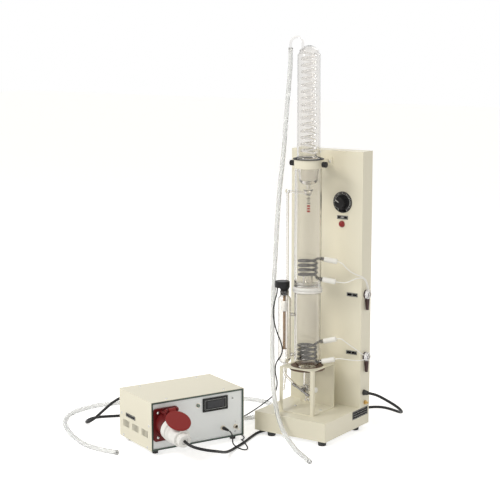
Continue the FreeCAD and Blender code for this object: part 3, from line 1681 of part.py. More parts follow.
def make_power_plug():
    nose = reach_out(s.power_plug_nose, s.power_plug_nose_start, s.power_plug_start + s.overrun)
    ring = reach_out(s.power_plug_ring, s.power_plug_start, s.power_plug_ring_end)
    front = -s.power_plug_start - s.overrun
    edge = [e for e in ring.Edges if round_edge(e) and e.CenterOfMass.y < front]
    ring = ring.makeFillet(s.lid_thickness / 3, edge)
    handle = reach_out(
        s.power_plug_ring * 0.92, s.power_plug_ring_end - s.overrun, s.power_plug_end, s.power_plug_neck
    )
    ribs = [
        reach_out(
            s.power_plug_ring * 0.95,
            s.power_plug_ring_end + s.overrun * k,
            s.power_plug_ring_end + s.overrun * (k + 0.5),
            s.power_plug_ring * 0.88,
        )
        for k in (0.5, 2)
    ]
    plug = nose.fuse([ring, handle] + ribs)
    gland = reach_out(s.power_gland_radius, s.power_plug_end, s.power_gland_end)
    edges = [e for e in gland.Edges if round_edge(e)]
    gland = gland.makeFillet(s.lid_thickness / 3, edges)
    grips = []
    for k in range(10):
        angle = math.pi / 5 * k
        notch = Part.makeCylinder(
            s.overrun / 3,
            s.power_gland_end,
            vector(
                s.power_gland_radius * math.cos(angle),
                -s.power_plug_end + s.overrun,
                s.power_gland_radius * math.sin(angle),
            ),
            SOUTH,
        )
        grips.append(notch)
    gland = gland.cut(Part.makeCompound(grips))
    gland = gland.cut(reach_out(s.power_gland_bore, s.power_plug_end - s.seam_gap, s.control_depth))
    seal = reach_out(
        s.power_gland_bore - s.seam_gap / 3, s.power_plug_end, s.power_gland_end - s.lid_pin_radius
    )
    whole = Part.makeCompound([plug, gland, seal])
    add("power_plug", formed(tilted(whole, s.socket_axis)), CONTROL)


def make_reset_button():
    face = front_face("-panel_recess")
    cap = rod("button_radius", "button_reach", "button_x", face, "button_height", SOUTH)
    soft = rounded(
        cap,
        s.button_radius / 4,
        lambda m, e: round_edge(e) and m.y < -s.control_depth / 2 + s.panel_recess - s.seam_gap,
    )
    stem = rod("button_stem", "button_travel * 4", "button_x", face, "button_height", NORTH)
    add("reset_button", joined([soft, stem]), CONTROL)


def button_switch():
    """The collar in front of the panel and the switch behind it."""
    face = front_face("-panel_recess")
    case = rod(
        "button_radius * 1.5",
        "button_case",
        "button_x",
        f"{face} + panel_sheet + seam_gap",
        "button_height",
        NORTH,
    )
    room = rod("button_stem + seam_gap", "button_travel * 8", "button_x", face, "button_height", NORTH)
    ring = rod("button_collar", "button_reach / 3", "button_x", face, "button_height", SOUTH)
    hole = rod(
        "button_radius + seam_gap", "overrun * 2", "button_x", f"{face} + overrun", "button_height", SOUTH
    )
    return group([cut(case, [room]), cut(ring, [hole])])


def status_led():
    face = front_face("-panel_recess")
    dome = rod(
        "led_radius", "led_reach + panel_sheet", "led_x", f"{face} + panel_sheet", "led_height", SOUTH
    )
    soft = rounded(
        dome,
        s.led_radius * 0.8,
        lambda m, e: round_edge(e) and m.y < -s.control_depth / 2 + s.panel_recess - s.led_radius / 4,
    )
    flange = rod(
        "led_radius * 1.2", "led_radius / 2", "led_x", f"{face} + panel_sheet", "led_height", NORTH
    )
    return placed(joined([soft, flange]), CONTROL)


def make_sensor_jack():
    face = front_face("-panel_recess")
    ring = rod("jack_radius", "jack_reach / 2", "jack_x", face, "jack_height", SOUTH)
    collar = rod("jack_radius * 0.8", "jack_reach", "jack_x", face, "jack_height", SOUTH)
    barrel = rod("jack_barrel", "jack_behind", "jack_x", face, "jack_height", NORTH)
    bore = rod(
        "jack_bore + seam_gap",
        "jack_reach * 4",
        "jack_x",
        f"{face} + jack_reach * 2",
        "jack_height",
        SOUTH,
    )
    add("sensor_jack", cut(joined([ring, collar, barrel]), [bore]), CONTROL)
    shell_at = f"{face} - jack_reach - seam_gap"
    shell = cone(
        "jack_plug_radius",
        "jack_plug_radius * 0.62",
        "jack_plug_length",
        "jack_x",
        shell_at,
        "jack_height",
        SOUTH,
    )
    tip = rod("jack_bore", "jack_reach * 2", "jack_x", f"{shell_at}", "jack_height", NORTH)
    add("sensor_plug", joined([shell, tip]), CONTROL)


def make_toggle():
    """Threaded bushing, its nut, the body behind, and the lever on a cross pin."""
    face = front_face("-panel_recess")
    bushing = rod("toggle_barrel", "toggle_reach", "toggle_x", face, "toggle_height", SOUTH)
    inside = rod("toggle_barrel", "toggle_behind / 2", "toggle_x", face, "toggle_height", NORTH)
    case = block(
        "toggle_case_width",
        "toggle_behind",
        "toggle_case_height",
        "toggle_x - toggle_case_width / 2",
        f"{face} + panel_sheet + seam_gap",
        "toggle_height - toggle_case_height / 2",
    )
    nut = document.addObject("Part::Prism", "nut")
    nut.Polygon = 6
    nut.Placement = FreeCAD.Placement(vector(0, 0, 0), FreeCAD.Rotation(UP, SOUTH))
    bind(nut, Circumradius="toggle_radius", Height="toggle_reach / 3")
    move(nut, "toggle_x", face, "toggle_height")
    well = cone(
        "toggle_ball * 0.95",
        "toggle_barrel * 0.88",
        "toggle_reach + seam_gap",
        "toggle_x",
        face,
        "toggle_height",
        SOUTH,
    )
    room = rod("toggle_ball + seam_gap", "toggle_behind / 2", "toggle_x", face, "toggle_height", NORTH)
    pin_hole = rod(
        "toggle_pin + running_gap",
        "overrun * 4",
        "toggle_x - overrun * 2",
        f"{face} + toggle_pivot",
        "toggle_height",
        EAST,
    )
    toggle = cut(joined([bushing, inside, case, nut]), [well, room, pin_hole])
    add("panel_switches", group([toggle, button_switch()]), CONTROL)
    slope = math.radians(s.toggle_slope)
    way = vector(0, -math.cos(slope), -math.sin(slope))
    pivot = f"{face} + toggle_pivot"
    lever = cone(
        "toggle_lever_radius * 0.7",
        "toggle_lever_radius",
        "toggle_lever_length",
        "toggle_x",
        pivot,
        "toggle_height",
        way,
    )
    ball = document.addObject("Part::Sphere", "ball")
    move(bind(ball, Radius="toggle_ball"), "toggle_x", pivot, "toggle_height")
    pin = rod(
        "toggle_pin",
        "toggle_barrel * 1.6",
        "toggle_x - toggle_barrel * 0.8",
        pivot,
        "toggle_height",
        EAST,
    )
    add("toggle_lever", joined([lever, ball, pin]), CONTROL)


def mains_gland():
    face = "control_depth / 2 - panel_recess"
    nut = cone("gland_radius", "gland_tip", "gland_reach", "gland_x", face, "gland_height", NORTH)
    neck = rod(
        "gland_tip", "panel_sheet * 3", "gland_x", f"{face} - panel_sheet * 3", "gland_height", NORTH
    )
    return placed(joined([nut, neck]), CONTROL)


def make_hose_port():
    """The barbed fitting that the feed hose pushes on, through the box's right side."""
    side = "control_width / 2"
    flange = rod(
        "hose_port_radius * 1.3", "control_wall * 2", side, "hose_port_y", "hose_port_height", EAST
    )
    neck = rod(
        "hose_bore - seam_gap / 3", "hose_port_reach", side, "hose_port_y", "hose_port_height", EAST
    )
    inside = rod(
        "hose_port_radius - seam_gap * 2",
        "control_wall * 6",
        side,
        "hose_port_y",
        "hose_port_height",
        EAST * -1,
    )
    bore = rod(
        "hose_bore * 0.6",
        "hose_port_reach * 4",
        f"{side} - hose_port_reach",
        "hose_port_y",
        "hose_port_height",
        EAST,
    )
    add("hose_port", cut(joined([flange, neck, inside]), [bore]), CONTROL)


# Cords, hoses and heater leads, each through points chosen by eye, in the stand's frame


OUTLET_HOSE = [
    (-61, -22, 1029), (-61, -22, 985), (-65, -24.5, 927), (-72, -25.5, 846), (-79, -26.5, 750),
    (-86.5, -29, 680), (-93, -32, 600), (-97, -34, 505), (-101.7, -36, 414), (-98, -46, 350),
    (-96, -53, 250), (-92, -58, 200), (-82, -72, 158), (-63.6, -94.5, 113), (-32.8, -128.5, 79),
    (-5.8, -148, 47), (12.4, -158, 31), (33.3, -170.4, 19), (60, -189, 10), (87, -208, 6.3),
    (122, -234, 6.3), (149, -255, 6.3),
]
SUPPLY_CORD = [
    (125.05, 84.4, 103), (141.1, 84.4, 103), (158.9, 86.8, 98.8), (189.2, 95.6, 83.5),
    (199.7, 104.3, 74.3), (204.9, 116.2, 64.2), (204.1, 129.7, 54.8), (197.5, 142.8, 47.4),
    (185.9, 153.7, 43), (167.9, 162.3, 42.2), (145.4, 173.1, 41.2), (119.9, 184.5, 38.8),
    (92.2, 193, 34), (63.2, 194.4, 27.5), (35.4, 186.3, 19.5), (11.3, 172, 12), (-9.4, 153.2, 6),
    (-25.4, 129.2, 3.8), (-43, 98, 3.8), (-45, 62, 3.8), (-54, 15, 3.8), (-76, -40, 3.8),
    (-98, -87, 3.8), (-102, -115, 3.8), (-97, -142, 3.8), (-90, -177, 3.8), (-81, -212, 3.8),
    (-77, -245, 3.8), (-72, -276, 4.2), (-64, -306, 8), (-56, -334, 15), (-49, -360, 24),
    (-43.5, -382, 32), (-44.5, -404, 39), (-52.5, -420, 44), (-65, -431.2, 48.2),
    (-80.8, -436.6, 51.8),
    (-97.2, -435.6, 55.3), (-111.1, -429.6, 58.8),
]
SENSOR_CABLE = [
    (-76.5, -58.5, 394.95), (-76.5, -58.5, 381), (-82.5, -62.5, 358), (-86.5, -65, 331),
    (-82.5, -65, 302),
    (-72, -64.5, 270), (-60, -65, 250), (-54, -65, 228), (-62, -64.5, 208), (-77, -58, 194),
    (-88, -50, 176), (-91, -45, 155), (-84, -45, 132), (-89, -42, 108), (-106, -32, 86),
    (-132, -24, 66),
    (-160, -20, 44), (-184, -19, 27), (-205, -20, 12), (-223, -28, 3), (-231, -47, 1.8),
    (-221, -67, 1.8), (-202, -85, 1.8), (-181, -104, 1.8), (-160, -125, 1.8), (-139, -144, 1.8),
    (-120, -156, 1.8), (-107, -170, 1.8), (-103, -187, 2), (-96, -202, 7), (-84, -215, 12.8),
    (-68, -229, 12.8), (-55, -236, 7.6), (-44, -246, 3.6), (-43, -260, 3.6), (-54, -269, 7.6),
    (-69, -270, 12.8),
    (-82, -262, 17), (-86, -254, 30), (-97.5, -247.27, 41), (-109.46, -242.05, 41),
]
FEED_HOSE = [
    (-186.2, -135.7, 28), (-174.2, -108.2, 28), (-169, -78, 24), (-173, -44, 16), (-180, -6, 9),
    (-184, 36, 6.3), (-184, 78, 6.3), (-199, 112, 6.3), (-226.5, 136.5, 6.3), (-262, 147, 6.3),
    (-317, 139, 6.3), (-385, 110, 6.3), (-446, 62, 6.3), (-500, 6, 6.3), (-550, -50, 6.3),
    (-596, -104, 6.3), (-628, -156, 6.3), (-641, -212, 6.3), (-634, -268, 6.3),
    (-608, -320, 6.3), (-566, -366, 6.3), (-512, -408, 6.3), (-452, -446, 6.3),
    (-396, -468, 6.3), (-346, -474, 6.3), (-298, -467, 6.3),
]
MAINS_CORD = [
    (-372.8, -309.24, 98), (-387.46, -302.84, 98), (-408, -295.5, 97), (-434, -293, 89),
    (-458, -299, 71),
    (-482, -309, 47), (-506, -315, 24), (-531, -312, 9), (-552, -297, 3.8), (-562, -271, 3.8),
    (-556, -243, 3.8), (-536, -221, 3.8), (-512, -198, 3.8), (-492, -170, 3.8), (-481, -138, 3.8),
    (-481, -107.65, 3.8),
]
MAINS_TAIL = [
    (-399, -107.65, 42.1), (-399, -126, 42.1), (-398, -148, 35), (-392, -172, 24), (-385, -196, 18),
    (-385, -221.95, 18),
]
UPPER_LEADS = [
    [(72.4, -4.8, 418.2), (84, -0.6, 416.6), (94, 12, 415), (102, 30, 420), (109, 47, 424),
     (115, 62, 423), (116.2, 75, 415), (116.4, 84, 402), (116.5, 87.5, 386.6)],
    [(65.6, 14, 469), (76.5, 18, 467), (85, 23, 455), (93, 34, 442), (104, 46, 433), (113.5, 58, 428),
     (118.5, 71, 420), (120.4, 82, 405), (120.5, 87.5, 386.4)],
]
LOWER_LEADS = [
    [(71.6, -5.1, 208.3), (82, -1.2, 210.9), (92, 14, 207), (100, 32, 202), (109, 50, 198),
     (115.5, 64, 197), (119, 76.8, 198)],
    [(64.8, 13.7, 259.1), (76.2, 17.9, 261.9), (87, 26.5, 250.5), (98, 40, 237), (109, 53, 225),
     (116, 65, 213), (119, 76.8, 208)],
]


def hollow_end(shape, point, towards, depth):
    """Open one end of a hose, as deep as what it takes."""
    way = (vector(*towards) - vector(*point)).normalize()
    return shape.cut(Part.makeCylinder(s.hose_bore, depth, vector(*point), way))


def make_hoses():
    hose = routed("outlet_hose", OUTLET_HOSE, s.hose_radius)
    hose = hollow_end(hose, OUTLET_HOSE[0], OUTLET_HOSE[1], OUTLET_HOSE[0][2] - s.hook_end + s.seam_gap)
    hose = hollow_end(hose, OUTLET_HOSE[-1], OUTLET_HOSE[-2], s.hose_radius * 2)
    add("outlet_hose", formed(hose), STAND)
    feed = routed("feed_hose", FEED_HOSE, s.hose_radius)
    feed = hollow_end(feed, FEED_HOSE[0], FEED_HOSE[1], s.hose_port_reach - s.control_wall)
    feed = hollow_end(feed, FEED_HOSE[-1], FEED_HOSE[-2], s.hose_radius * 2)
    add("feed_hose", formed(feed), STAND)


def make_cords():
    for name, points, across in (
        ("heater_supply_cord", SUPPLY_CORD, s.supply_cord),
        ("sensor_cable", SENSOR_CABLE, s.sensor_cord),
        ("mains_cord", MAINS_CORD, s.mains_cord),
        ("mains_cord_tail", MAINS_TAIL, s.mains_cord),
    ):
        add(name, formed(routed(name, points, across / 2)), STAND)
    for name, pair in (("upper_heater_leads", UPPER_LEADS), ("lower_heater_leads", LOWER_LEADS)):
        leads = [routed(name, points, s.lead_radius) for points in pair]
        add(name, formed(Part.makeCompound(leads)), STAND)


def make_mains_cord_coil():
    """The part of the mains cord that lies wound on the table, in one unbroken tube."""
    radius = s.mains_cord / 2
    points, tangents = helix_points(
        s.mains_coil_radius, s.mains_coil_pitch, radius + s.seam_gap, 180, s.mains_coil_turns, hand=-1
    )
    edges = [Part.LineSegment(points[0] - tangents[0] * radius * 2, points[0]).toShape()]
    edges += helix_edges(points, tangents)
    edges.append(Part.LineSegment(points[-1], points[-1] + tangents[-1] * radius * 2).toShape())
    coil = swept(edges, radius)
    length = sum(edge.Length for edge in edges)
    filled = coil.Volume / (math.pi * radius * radius * length)
    gap = s.mains_coil_pitch - s.mains_cord
    print(f"mains_cord_coil: length {length:.0f}, filled {filled:.3f}, gap to itself {gap:.2f}")
    add("mains_cord_coil", formed(shifted(coil, s.mains_coil_x, s.mains_coil_y)), STAND)


def make_mains_plug():
    """Round moulded plug lying on the table, with two round pins and side earth strips left out."""
    x, start, z = "mains_plug_x", "mains_plug_y", "mains_plug_radius"
    tail = cone("mains_tail_radius", "mains_plug_radius * 0.7", "mains_plug_tail", x, start, z, SOUTH)
    shell = rod("mains_plug_radius", "mains_plug_length", x, f"{start} - mains_plug_tail", z, SOUTH)
    pins = [
        rod(
            "mains_pin_radius",
            "mains_pin_length",
            f"{x} + {side} * mains_pin_spread",
            f"{start} - mains_plug_tail - mains_plug_length",
            z,
            SOUTH,
        )
        for side in (1, -1)
    ]
    add("mains_plug", joined([tail, shell] + pins), STAND)


# The stand and the control box each have their own middle. The origin is halfway along both together,
# where the socket's lid reaches furthest forward.
beside = FreeCAD.Placement(vector(s.control_x, s.control_y, 0), FreeCAD.Rotation(UP, s.control_turn))
lid = lid_shape()
lid.Placement = beside.multiply(lid.Placement)
turn = math.radians(s.control_turn)
half_across = (s.control_width * math.cos(turn) + s.control_depth * math.sin(turn)) / 2
stand_x = -(s.control_x - half_across + s.base_width / 2 + s.plug_reach) / 2
stand_y = -(lid.BoundBox.YMin + s.base_depth / 2) / 2
STAND = FreeCAD.Placement(vector(stand_x, stand_y, 0), FreeCAD.Rotation())
CONTROL = STAND.multiply(beside)

make_base_shell()
make_base_bottom_plate()
make_column_housing()
make_column_back_cover()
make_boiler_bracket()
make_boiler_seat_ring()
make_lower_boiler()
make_upper_boiler()
make_distillate_tube()
make_condenser_jacket()
make_condenser_coil()
make_heater("lower_heater_coil", s.lower_heater_bottom, s.lower_leg_rise)
make_heater("upper_heater_coil", s.upper_heater_bottom, s.upper_leg_rise)
make_heater_sleeves()
make_clamp_collar()
make_collar_gasket()
make_thumbscrew("thumbscrew_left", -1)
make_thumbscrew("thumbscrew_right", 1)
make_level_chamber()
make_level_head()
make_float_stem()
make_float()
make_stopcock_body()
make_side_nut()
make_stopcock_key()
make_regulator_knob()
make_regulator_body()
make_face_plates()
make_indicator_lamps()
make_heater_sockets()
make_heater_plugs()
make_cord_grommets()
make_earth_terminal()
make_control_tray()
make_control_cover()
make_front_trim()
make_panel("front_panel", True)
make_panel("back_panel", False)
make_rubber_feet()
make_round_head_screws()
make_meter()
make_power_socket()
make_socket_lid()
make_power_plug()
make_reset_button()
make_toggle()
make_sensor_jack()
make_hose_port()
make_hoses()
make_cords()
make_mains_cord_coil()
make_mains_plug()

document.recompute()
for item in parts:
    if "Invalid" in item.State or "Error" in item.State or item.Shape.isNull() or not item.Shape.isValid():
        raise RuntimeError(f"{item.Label} did not build: {item.State}")
    item.Shape.exportStep(f"parts/{item.Label}.step")
print(len(parts), "parts")
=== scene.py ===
import json
import math

import bmesh
import bpy
from mathutils import Matrix, Vector


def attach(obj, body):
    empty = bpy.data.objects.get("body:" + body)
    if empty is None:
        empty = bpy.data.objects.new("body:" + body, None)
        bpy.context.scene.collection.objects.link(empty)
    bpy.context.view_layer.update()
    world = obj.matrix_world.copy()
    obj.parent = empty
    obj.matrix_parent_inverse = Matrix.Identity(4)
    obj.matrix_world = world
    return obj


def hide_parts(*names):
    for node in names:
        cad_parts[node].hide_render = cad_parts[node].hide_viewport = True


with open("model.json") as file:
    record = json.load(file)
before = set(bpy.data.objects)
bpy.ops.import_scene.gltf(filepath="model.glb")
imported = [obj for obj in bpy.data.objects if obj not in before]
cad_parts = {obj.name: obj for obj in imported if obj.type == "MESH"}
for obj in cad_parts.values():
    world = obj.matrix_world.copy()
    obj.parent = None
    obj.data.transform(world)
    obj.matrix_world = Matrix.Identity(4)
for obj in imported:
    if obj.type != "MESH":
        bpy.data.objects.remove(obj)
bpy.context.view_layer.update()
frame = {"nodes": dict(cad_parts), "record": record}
scene = bpy.context.scene
scene.view_settings.view_transform = "Standard"
scene.cycles.max_bounces = 24
scene.cycles.transmission_bounces = 24
scene.cycles.transparent_max_bounces = 32

# Camera. A long lens a few metres off, a little above the top of the stand, looking down at the
# near right corner of the base, as the photographer stood.
camera_data = bpy.data.cameras.new("camera")
camera_data.sensor_width = 36
camera_data.lens = 98.64
camera_data.clip_end = 60
camera = bpy.data.objects.new("camera", camera_data)
camera.location = (2.0048, -2.9088, 1.090)
camera.rotation_euler = (math.radians(90 - 9.37), 0, math.radians(34.1))
scene.collection.objects.link(camera)
scene.camera = camera

# Studio. A plain pale table top that runs to a white wall, a big soft lamp from the left and
# above, and a weaker one from the right, so that shadows are faint.
def looked_at(tree):
    """One where a ray comes from the eye, straight, off a gloss or through glass, and else none."""
    rays = tree.nodes.new("ShaderNodeLightPath")
    seen = tree.nodes.new("ShaderNodeMath")
    seen.operation = "MAXIMUM"
    through = tree.nodes.new("ShaderNodeMath")
    through.operation = "MAXIMUM"
    tree.links.new(rays.outputs["Is Camera Ray"], seen.inputs[0])
    tree.links.new(rays.outputs["Is Glossy Ray"], seen.inputs[1])
    tree.links.new(seen.outputs[0], through.inputs[0])
    tree.links.new(rays.outputs["Is Transmission Ray"], through.inputs[1])
    return through.outputs[0]


world = bpy.data.worlds.new("studio")
scene.world = world
world.use_nodes = True
tree = world.node_tree
tree.nodes.clear()
ambient = tree.nodes.new("ShaderNodeBackground")
ambient.inputs["Color"].default_value = (1.0, 0.975, 0.93, 1)
ambient.inputs["Strength"].default_value = 0.53
white = tree.nodes.new("ShaderNodeBackground")
white.inputs["Color"].default_value = (1, 1, 1, 1)
mixed = tree.nodes.new("ShaderNodeMixShader")
sky = tree.nodes.new("ShaderNodeOutputWorld")
tree.links.new(looked_at(tree), mixed.inputs[0])
tree.links.new(ambient.outputs[0], mixed.inputs[1])
tree.links.new(white.outputs[0], mixed.inputs[2])
tree.links.new(mixed.outputs[0], sky.inputs["Surface"])
aimed_at = Vector((0.05, 0, 0.4))
daylight, warm_light = (1.0, 0.985, 0.95), (1.0, 0.94, 0.83)
for name, place, size, power, colour in (
    ("key_lamp", (-1.1, -2.6, 2.9), 1.3, 66, daylight),
    ("fill_lamp", (3.0, -0.6, 1.8), 2.2, 10, warm_light),
    ("back_lamp", (0.4, 2.6, 2.6), 2.0, 16, daylight),
):
    lamp_data = bpy.data.lights.new(name, "AREA")
    lamp_data.size = size
    lamp_data.energy = power
    lamp_data.color = colour
    lamp = bpy.data.objects.new(name, lamp_data)
    lamp.location = place
    lamp.rotation_euler = (aimed_at - Vector(place)).to_track_quat("-Z", "Y").to_euler()
    scene.collection.objects.link(lamp)

floor_mesh = bpy.data.meshes.new("table_top")
floor_span = 14
floor_corners = [(x * floor_span, y * floor_span, 0) for x, y in ((-1, -1), (1, -1), (1, 1), (-1, 1))]
floor_mesh.from_pydata(floor_corners, [], [(0, 1, 2, 3)])
floor = bpy.data.objects.new("table_top", floor_mesh)
scene.collection.objects.link(floor)
floor_look = bpy.data.materials.new("table_white")
floor_look.use_nodes = True
tree = floor_look.node_tree
paint = tree.nodes["Principled BSDF"]
paint.inputs["Base Color"].default_value = (0.93, 0.93, 0.93, 1)
paint.inputs["Roughness"].default_value = 0.9
paint.inputs["Specular IOR Level"].default_value = 0.1
lift = tree.nodes.new("ShaderNodeEmission")
lift.inputs["Strength"].default_value = 0.5
both = tree.nodes.new("ShaderNodeAddShader")
chosen = tree.nodes.new("ShaderNodeMixShader")
tree.links.new(paint.outputs[0], both.inputs[0])
tree.links.new(lift.outputs[0], both.inputs[1])
tree.links.new(looked_at(tree), chosen.inputs[0])
tree.links.new(paint.outputs[0], chosen.inputs[1])
tree.links.new(both.outputs[0], chosen.inputs[2])
tree.links.new(chosen.outputs[0], tree.nodes["Material Output"].inputs["Surface"])
floor_mesh.materials.append(floor_look)

# Hoses. Two lengths of soft clear tubing, gone a little milky, one pushed over the condenser's
# hook and hanging down to the table, the other from the control box, round behind and back.
STAND_AT = Vector((0.1268233, 0.166696, 0))
STRAIGHT_UP = 1e-7


def finish(
    name, color, rough, metal=0.0, grain=60, bump=0.1, vary=0.04, rough_vary=0.06, fine=4, **sockets
):
    """A procedural finish: its colour, roughness and height all vary a little with the place."""
    look = bpy.data.materials.new(name)
    look.use_nodes = True
    tree = look.node_tree
    skin = tree.nodes["Principled BSDF"]
    skin.inputs["Metallic"].default_value = metal
    for socket, value in sockets.items():
        skin.inputs[socket.replace("_", " ")].default_value = value
    place = tree.nodes.new("ShaderNodeTexCoord")
    clouds = tree.nodes.new("ShaderNodeTexNoise")
    clouds.inputs["Scale"].default_value = grain / 6
    clouds.inputs["Detail"].default_value = 3
    grains = tree.nodes.new("ShaderNodeTexNoise")
    grains.inputs["Scale"].default_value = grain * 10
    grains.inputs["Detail"].default_value = fine
    tree.links.new(place.outputs["Object"], clouds.inputs["Vector"])
    tree.links.new(place.outputs["Object"], grains.inputs["Vector"])
    shade = tree.nodes.new("ShaderNodeMix")
    shade.data_type = "RGBA"
    shade.inputs["A"].default_value = [c * (1 - vary) for c in color[:3]] + [1]
    shade.inputs["B"].default_value = [min(1, c * (1 + vary)) for c in color[:3]] + [1]
    tree.links.new(clouds.outputs["Fac"], shade.inputs["Factor"])
    tree.links.new(shade.outputs["Result"], skin.inputs["Base Color"])
    rub = tree.nodes.new("ShaderNodeMapRange")
    rub.inputs["To Min"].default_value = max(0, rough - rough_vary)
    rub.inputs["To Max"].default_value = min(1, rough + rough_vary)
    tree.links.new(grains.outputs["Fac"], rub.inputs["Value"])
    tree.links.new(rub.outputs["Result"], skin.inputs["Roughness"])
    if bump:
        relief = tree.nodes.new("ShaderNodeBump")
        relief.inputs["Strength"].default_value = bump
        relief.inputs["Distance"].default_value = 0.0002
        tree.links.new(grains.outputs["Fac"], relief.inputs["Height"])
        tree.links.new(relief.outputs["Normal"], skin.inputs["Normal"])
    return look


def route(name, points, thickness):
    """A cord along a smooth line through the points, given in millimetres in the stand's frame."""
    line = bpy.data.curves.new(name, "CURVE")
    line.dimensions = "3D"
    spline = line.splines.new("NURBS")
    spline.points.add(len(points) - 1)
    for point, place in zip(spline.points, points):
        point.co = (*(Vector(place) / 1000 + STAND_AT), 1)
    spline.order_u = 3
    spline.use_endpoint_u = True
    spline.resolution_u = 8
    line.bevel_depth = thickness / 2
    line.bevel_resolution = 6
    line.use_fill_caps = True
    piece = bpy.data.objects.new(name, line)
    scene.collection.objects.link(piece)
    return piece


def centreline(piece):
    """The points of a route's own smooth line."""
    depth = piece.data.bevel_depth
    piece.data.bevel_depth = 0
    bpy.context.view_layer.update()
    graph = bpy.context.evaluated_depsgraph_get()
    bare = bpy.data.meshes.new_from_object(piece.evaluated_get(graph))
    piece.data.bevel_depth = depth
    points = [vertex.co.copy() for vertex in bare.vertices]
    bpy.data.meshes.remove(bare)
    return points


def tube(name, points, outer, inner, sides=28):
    """A hollow tube along the points, with a wall between its two radii and square ends. The outer
    radius is one value, or a list with one for each point."""
    work = bmesh.new()
    side = Vector((0, 0, 1)).cross(points[1] - points[0])
    if side.length < STRAIGHT_UP:
        side = Vector((1, 0, 0))
    rows = []
    for k, point in enumerate(points):
        way = (points[min(k + 1, len(points) - 1)] - points[max(k - 1, 0)]).normalized()
        side = (side - way * side.dot(way)).normalized()
        other = way.cross(side)
        rows.append(
            [
                [
                    work.verts.new(point + radius * (math.cos(a) * side + math.sin(a) * other))
                    for a in [math.tau * j / sides for j in range(sides)]
                ]
                for radius in (outer[k] if isinstance(outer, list) else outer, inner)
            ]
        )
    for k in range(len(rows) - 1):
        for j in range(sides):
            i = (j + 1) % sides
            a, b = rows[k][0], rows[k + 1][0]
            work.faces.new((a[j], a[i], b[i], b[j]))
            a, b = rows[k][1], rows[k + 1][1]
            work.faces.new((a[j], b[j], b[i], a[i]))
    for j in range(sides):
        i = (j + 1) % sides
        work.faces.new((rows[0][0][j], rows[0][1][j], rows[0][1][i], rows[0][0][i]))
        work.faces.new((rows[-1][0][j], rows[-1][0][i], rows[-1][1][i], rows[-1][1][j]))
    for face in work.faces:
        face.smooth = True
    mesh = bpy.data.meshes.new(name)
    work.to_mesh(mesh)
    work.free()
    piece = bpy.data.objects.new(name, mesh)
    scene.collection.objects.link(piece)
    return piece


OUTLET_ROUTE = [
    (-61, -22, 1029), (-61, -22, 985), (-65, -24.5, 927), (-72, -25.5, 846), (-79, -26.5, 750),
    (-86.5, -29, 680), (-93, -32, 600), (-97, -34, 505), (-101.7, -36, 414), (-98, -46, 350),
    (-96, -53, 250), (-92, -58, 200), (-82, -72, 158), (-63.6, -94.5, 113), (-32.8, -128.5, 79),
    (-5.8, -148, 47), (12.4, -158, 31), (33.3, -170.4, 19), (60, -189, 10), (87, -208, 6.3),
    (122, -234, 6.3), (149, -255, 6.3),
]
FEED_ROUTE = [
    (-186.2, -135.7, 28), (-174.2, -108.2, 28), (-169, -78, 24), (-173, -44, 16), (-180, -6, 9),
    (-184, 36, 6.3), (-184, 78, 6.3), (-199, 112, 6.3), (-226.5, 136.5, 6.3), (-262, 147, 6.3),
    (-317, 139, 6.3), (-385, 110, 6.3), (-446, 62, 6.3), (-500, 6, 6.3), (-550, -50, 6.3),
    (-596, -104, 6.3), (-628, -156, 6.3), (-641, -212, 6.3), (-634, -268, 6.3),
    (-608, -320, 6.3), (-566, -366, 6.3), (-512, -408, 6.3), (-452, -446, 6.3),
    (-396, -468, 6.3), (-346, -474, 6.3), (-298, -467, 6.3),
]
hose_outside, hose_bore = 0.00625, 0.00425
milky = finish(
    "milky_tubing", (0.955, 0.96, 0.955), 0.24, grain=40, bump=0.05, vary=0.015,
    Transmission_Weight=0.72, IOR=1.27,
)
for name, points in (("outlet_hose", OUTLET_ROUTE), ("feed_hose", FEED_ROUTE)):
    guide = route(name + "_line", points, hose_outside * 2)
    path = centreline(guide)
    bpy.data.objects.remove(guide)
    hose = tube(name + "_tube", path, hose_outside, hose_bore)
    hose.data.materials.append(milky)
    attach(hose, "stand")
    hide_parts(name)

# Black cords. The heaters' supply cord leaves the column on the right, turns back behind the
# stand and runs under its base to the box. A thin cable runs from the level head to the box.
SUPPLY_ROUTE = [
    (125.05, 84.4, 103), (141.1, 84.4, 103), (158.9, 86.8, 98.8), (189.2, 95.6, 83.5),
    (199.7, 104.3, 74.3), (204.9, 116.2, 64.2), (204.1, 129.7, 54.8), (197.5, 142.8, 47.4),
    (185.9, 153.7, 43), (167.9, 162.3, 42.2), (145.4, 173.1, 41.2), (119.9, 184.5, 38.8),
    (92.2, 193, 34), (63.2, 194.4, 27.5), (35.4, 186.3, 19.5), (11.3, 172, 12), (-9.4, 153.2, 6),
    (-25.4, 129.2, 3.8), (-43, 98, 3.8), (-45, 62, 3.8), (-54, 15, 3.8), (-76, -40, 3.8),
    (-98, -87, 3.8), (-102, -115, 3.8), (-97, -142, 3.8), (-90, -177, 3.8), (-81, -212, 3.8),
    (-77, -245, 3.8), (-72, -276, 4.2), (-64, -306, 8), (-56, -334, 15), (-49, -360, 24),
    (-43.5, -382, 32), (-44.5, -404, 39), (-52.5, -420, 44), (-65, -431.2, 48.2),
    (-80.8, -436.6, 51.8), (-97.2, -435.6, 55.3), (-111.1, -429.6, 58.8),
]
